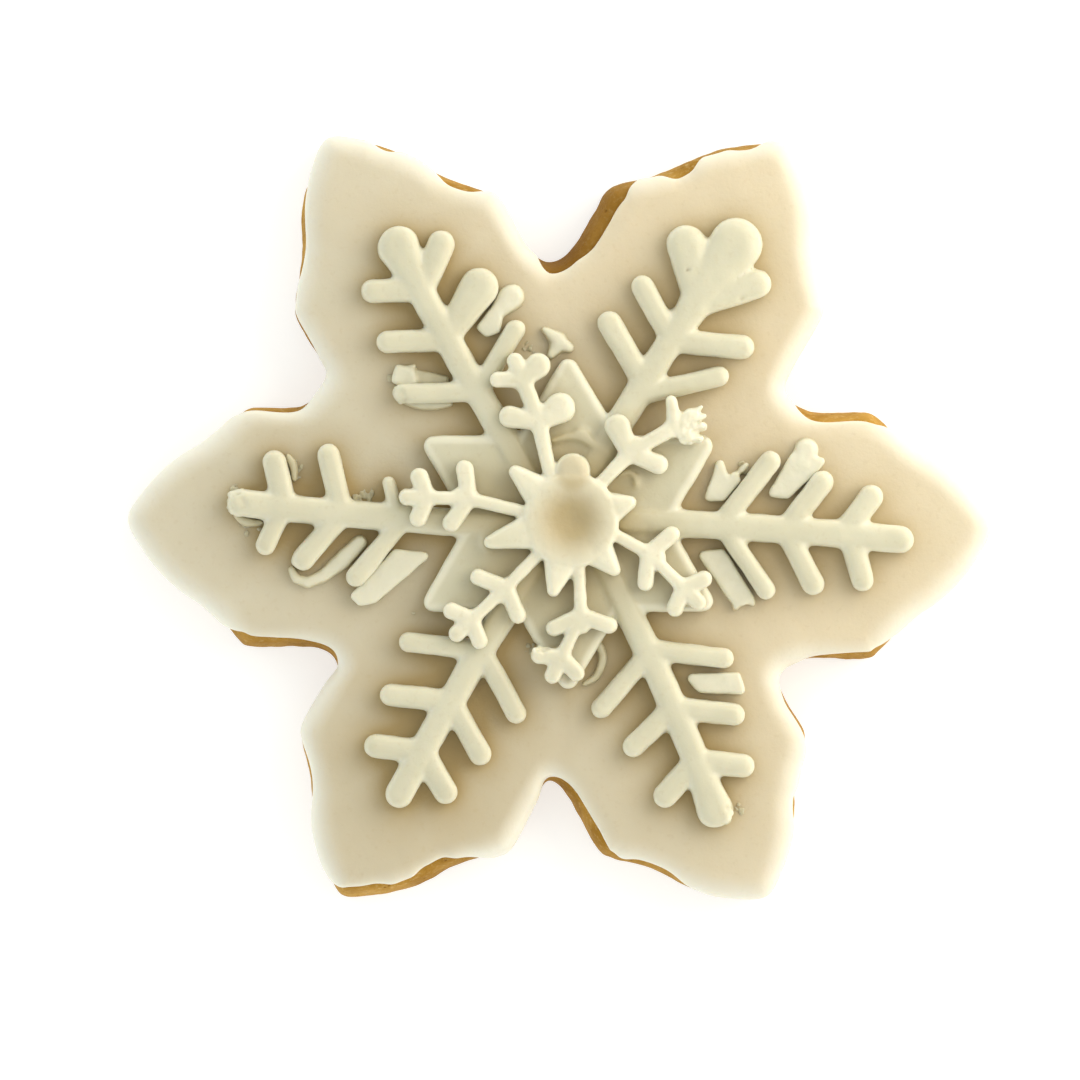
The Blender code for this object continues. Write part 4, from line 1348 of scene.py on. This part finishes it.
def make_lamp(watts):
    """Soft square lamp at the right."""
    lamp = bpy.data.lights.new("side_lamp", "AREA")
    lamp.shape = "SQUARE"
    lamp.size = LAMP_SIZE
    lamp.energy = watts
    lamp.color = LAMP_COLOUR
    item = new_object("side_lamp", lamp)
    item.location = LAMP_PLACE
    item.rotation_euler = (Vector(LAMP_TARGET) - item.location).to_track_quat("-Z", "Y").to_euler()


def make_stage():
    """Floor, surroundings, side light and camera."""
    settings = settings_of("biscuit_stage")
    mesh = bpy.data.meshes.new("floor")
    corners = [(x * FLOOR_HALF, y * FLOOR_HALF, 0.0) for x, y in ((-1, -1), (1, -1), (1, 1), (-1, 1))]
    mesh.from_pydata(corners, [], [(0, 1, 2, 3)])
    floor = new_object("floor", mesh)
    material, shader = new_material("white_floor", 0.9, 0.0, 1.0)
    shader.inputs["Base Color"].default_value = (*settings.floor_colour, 1.0)
    shader.inputs["Emission Color"].default_value = (1.0, 1.0, 1.0, 1.0)
    shader.inputs["Emission Strength"].default_value = settings.floor_glow
    mesh.materials.append(material)
    make_world(settings.light)
    make_lamp(settings.side_light)
    make_camera(settings.distance)
    scene = bpy.context.scene
    scene.view_settings.view_transform = "Standard"
    scene.view_settings.look = "None"


def make_camera(height):
    """Camera that looks straight down, framed as the photograph is."""
    camera = bpy.data.cameras.new("camera")
    item = new_object("camera", camera)
    middle = PHOTO_PIXELS / 2.0
    x = (middle - ORIGIN_PIXEL[0]) / PIXELS_PER_MM
    y = (ORIGIN_PIXEL[1] - middle) / PIXELS_PER_MM
    item.location = (x * MM, y * MM, VIEW_PLANE * MM + height)
    width = PHOTO_PIXELS / PIXELS_PER_MM * MM
    camera.sensor_width = SENSOR_WIDTH
    camera.lens = SENSOR_WIDTH * height / width
    camera.clip_start = height / 20.0
    camera.clip_end = height * 4.0
    bpy.context.scene.camera = item


# Buttons of the add-on

class BISCUIT_OT_dough(bpy.types.Operator):
    """Make the baked dough"""

    bl_idname = "biscuit.dough"
    bl_label = "Baked dough"

    def execute(self, context):
        make_dough()
        return {"FINISHED"}


class BISCUIT_OT_coating(bpy.types.Operator):
    """Make the poured coating, the broken bars stuck to it and its crumbs"""

    bl_idname = "biscuit.coating"
    bl_label = "Poured coating"

    def execute(self, context):
        make_coating()
        make_stray_bars()
        make_crumbs()
        return {"FINISHED"}


class BISCUIT_OT_flakes(bpy.types.Operator):
    """Make the large and the small moulded snowflake"""

    bl_idname = "biscuit.flakes"
    bl_label = "Moulded snowflakes"

    def execute(self, context):
        make_large_flake()
        make_small_flake()
        return {"FINISHED"}


class BISCUIT_OT_stage(bpy.types.Operator):
    """Make the floor, the light and the camera"""

    bl_idname = "biscuit.stage"
    bl_label = "Stage"

    def execute(self, context):
        make_stage()
        return {"FINISHED"}


STEPS = (BISCUIT_OT_dough, BISCUIT_OT_coating, BISCUIT_OT_flakes, BISCUIT_OT_stage)
GROUPS = {
    "biscuit_dough": DoughSettings,
    "biscuit_coating": CoatingSettings,
    "biscuit_flakes": FlakeSettings,
    "biscuit_stage": StageSettings,
}


class BISCUIT_PT_panel(bpy.types.Panel):
    """Sidebar panel with the biscuit's settings and buttons"""

    bl_idname = "BISCUIT_PT_panel"
    bl_label = "Snowflake dog biscuit"
    bl_space_type = "VIEW_3D"
    bl_region_type = "UI"
    bl_category = "Dog biscuit"

    def draw(self, context):
        for (name, group), step in zip(GROUPS.items(), STEPS):
            box = self.layout.box()
            for field in group.__annotations__:
                box.prop(getattr(context.scene, name), field)
            box.operator(step.bl_idname)


def register():
    for name, group in GROUPS.items():
        bpy.utils.register_class(group)
        setattr(bpy.types.Scene, name, PointerProperty(type=group))
    for step in STEPS:
        bpy.utils.register_class(step)
    bpy.utils.register_class(BISCUIT_PT_panel)


def unregister():
    bpy.utils.unregister_class(BISCUIT_PT_panel)
    for step in reversed(STEPS):
        bpy.utils.unregister_class(step)
    for name, group in GROUPS.items():
        delattr(bpy.types.Scene, name)
        bpy.utils.unregister_class(group)


def main():
    register()
    bpy.ops.biscuit.dough()
    bpy.ops.biscuit.coating()
    bpy.ops.biscuit.flakes()
    bpy.ops.biscuit.stage()
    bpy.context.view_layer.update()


if __name__ == "__main__":
    main()
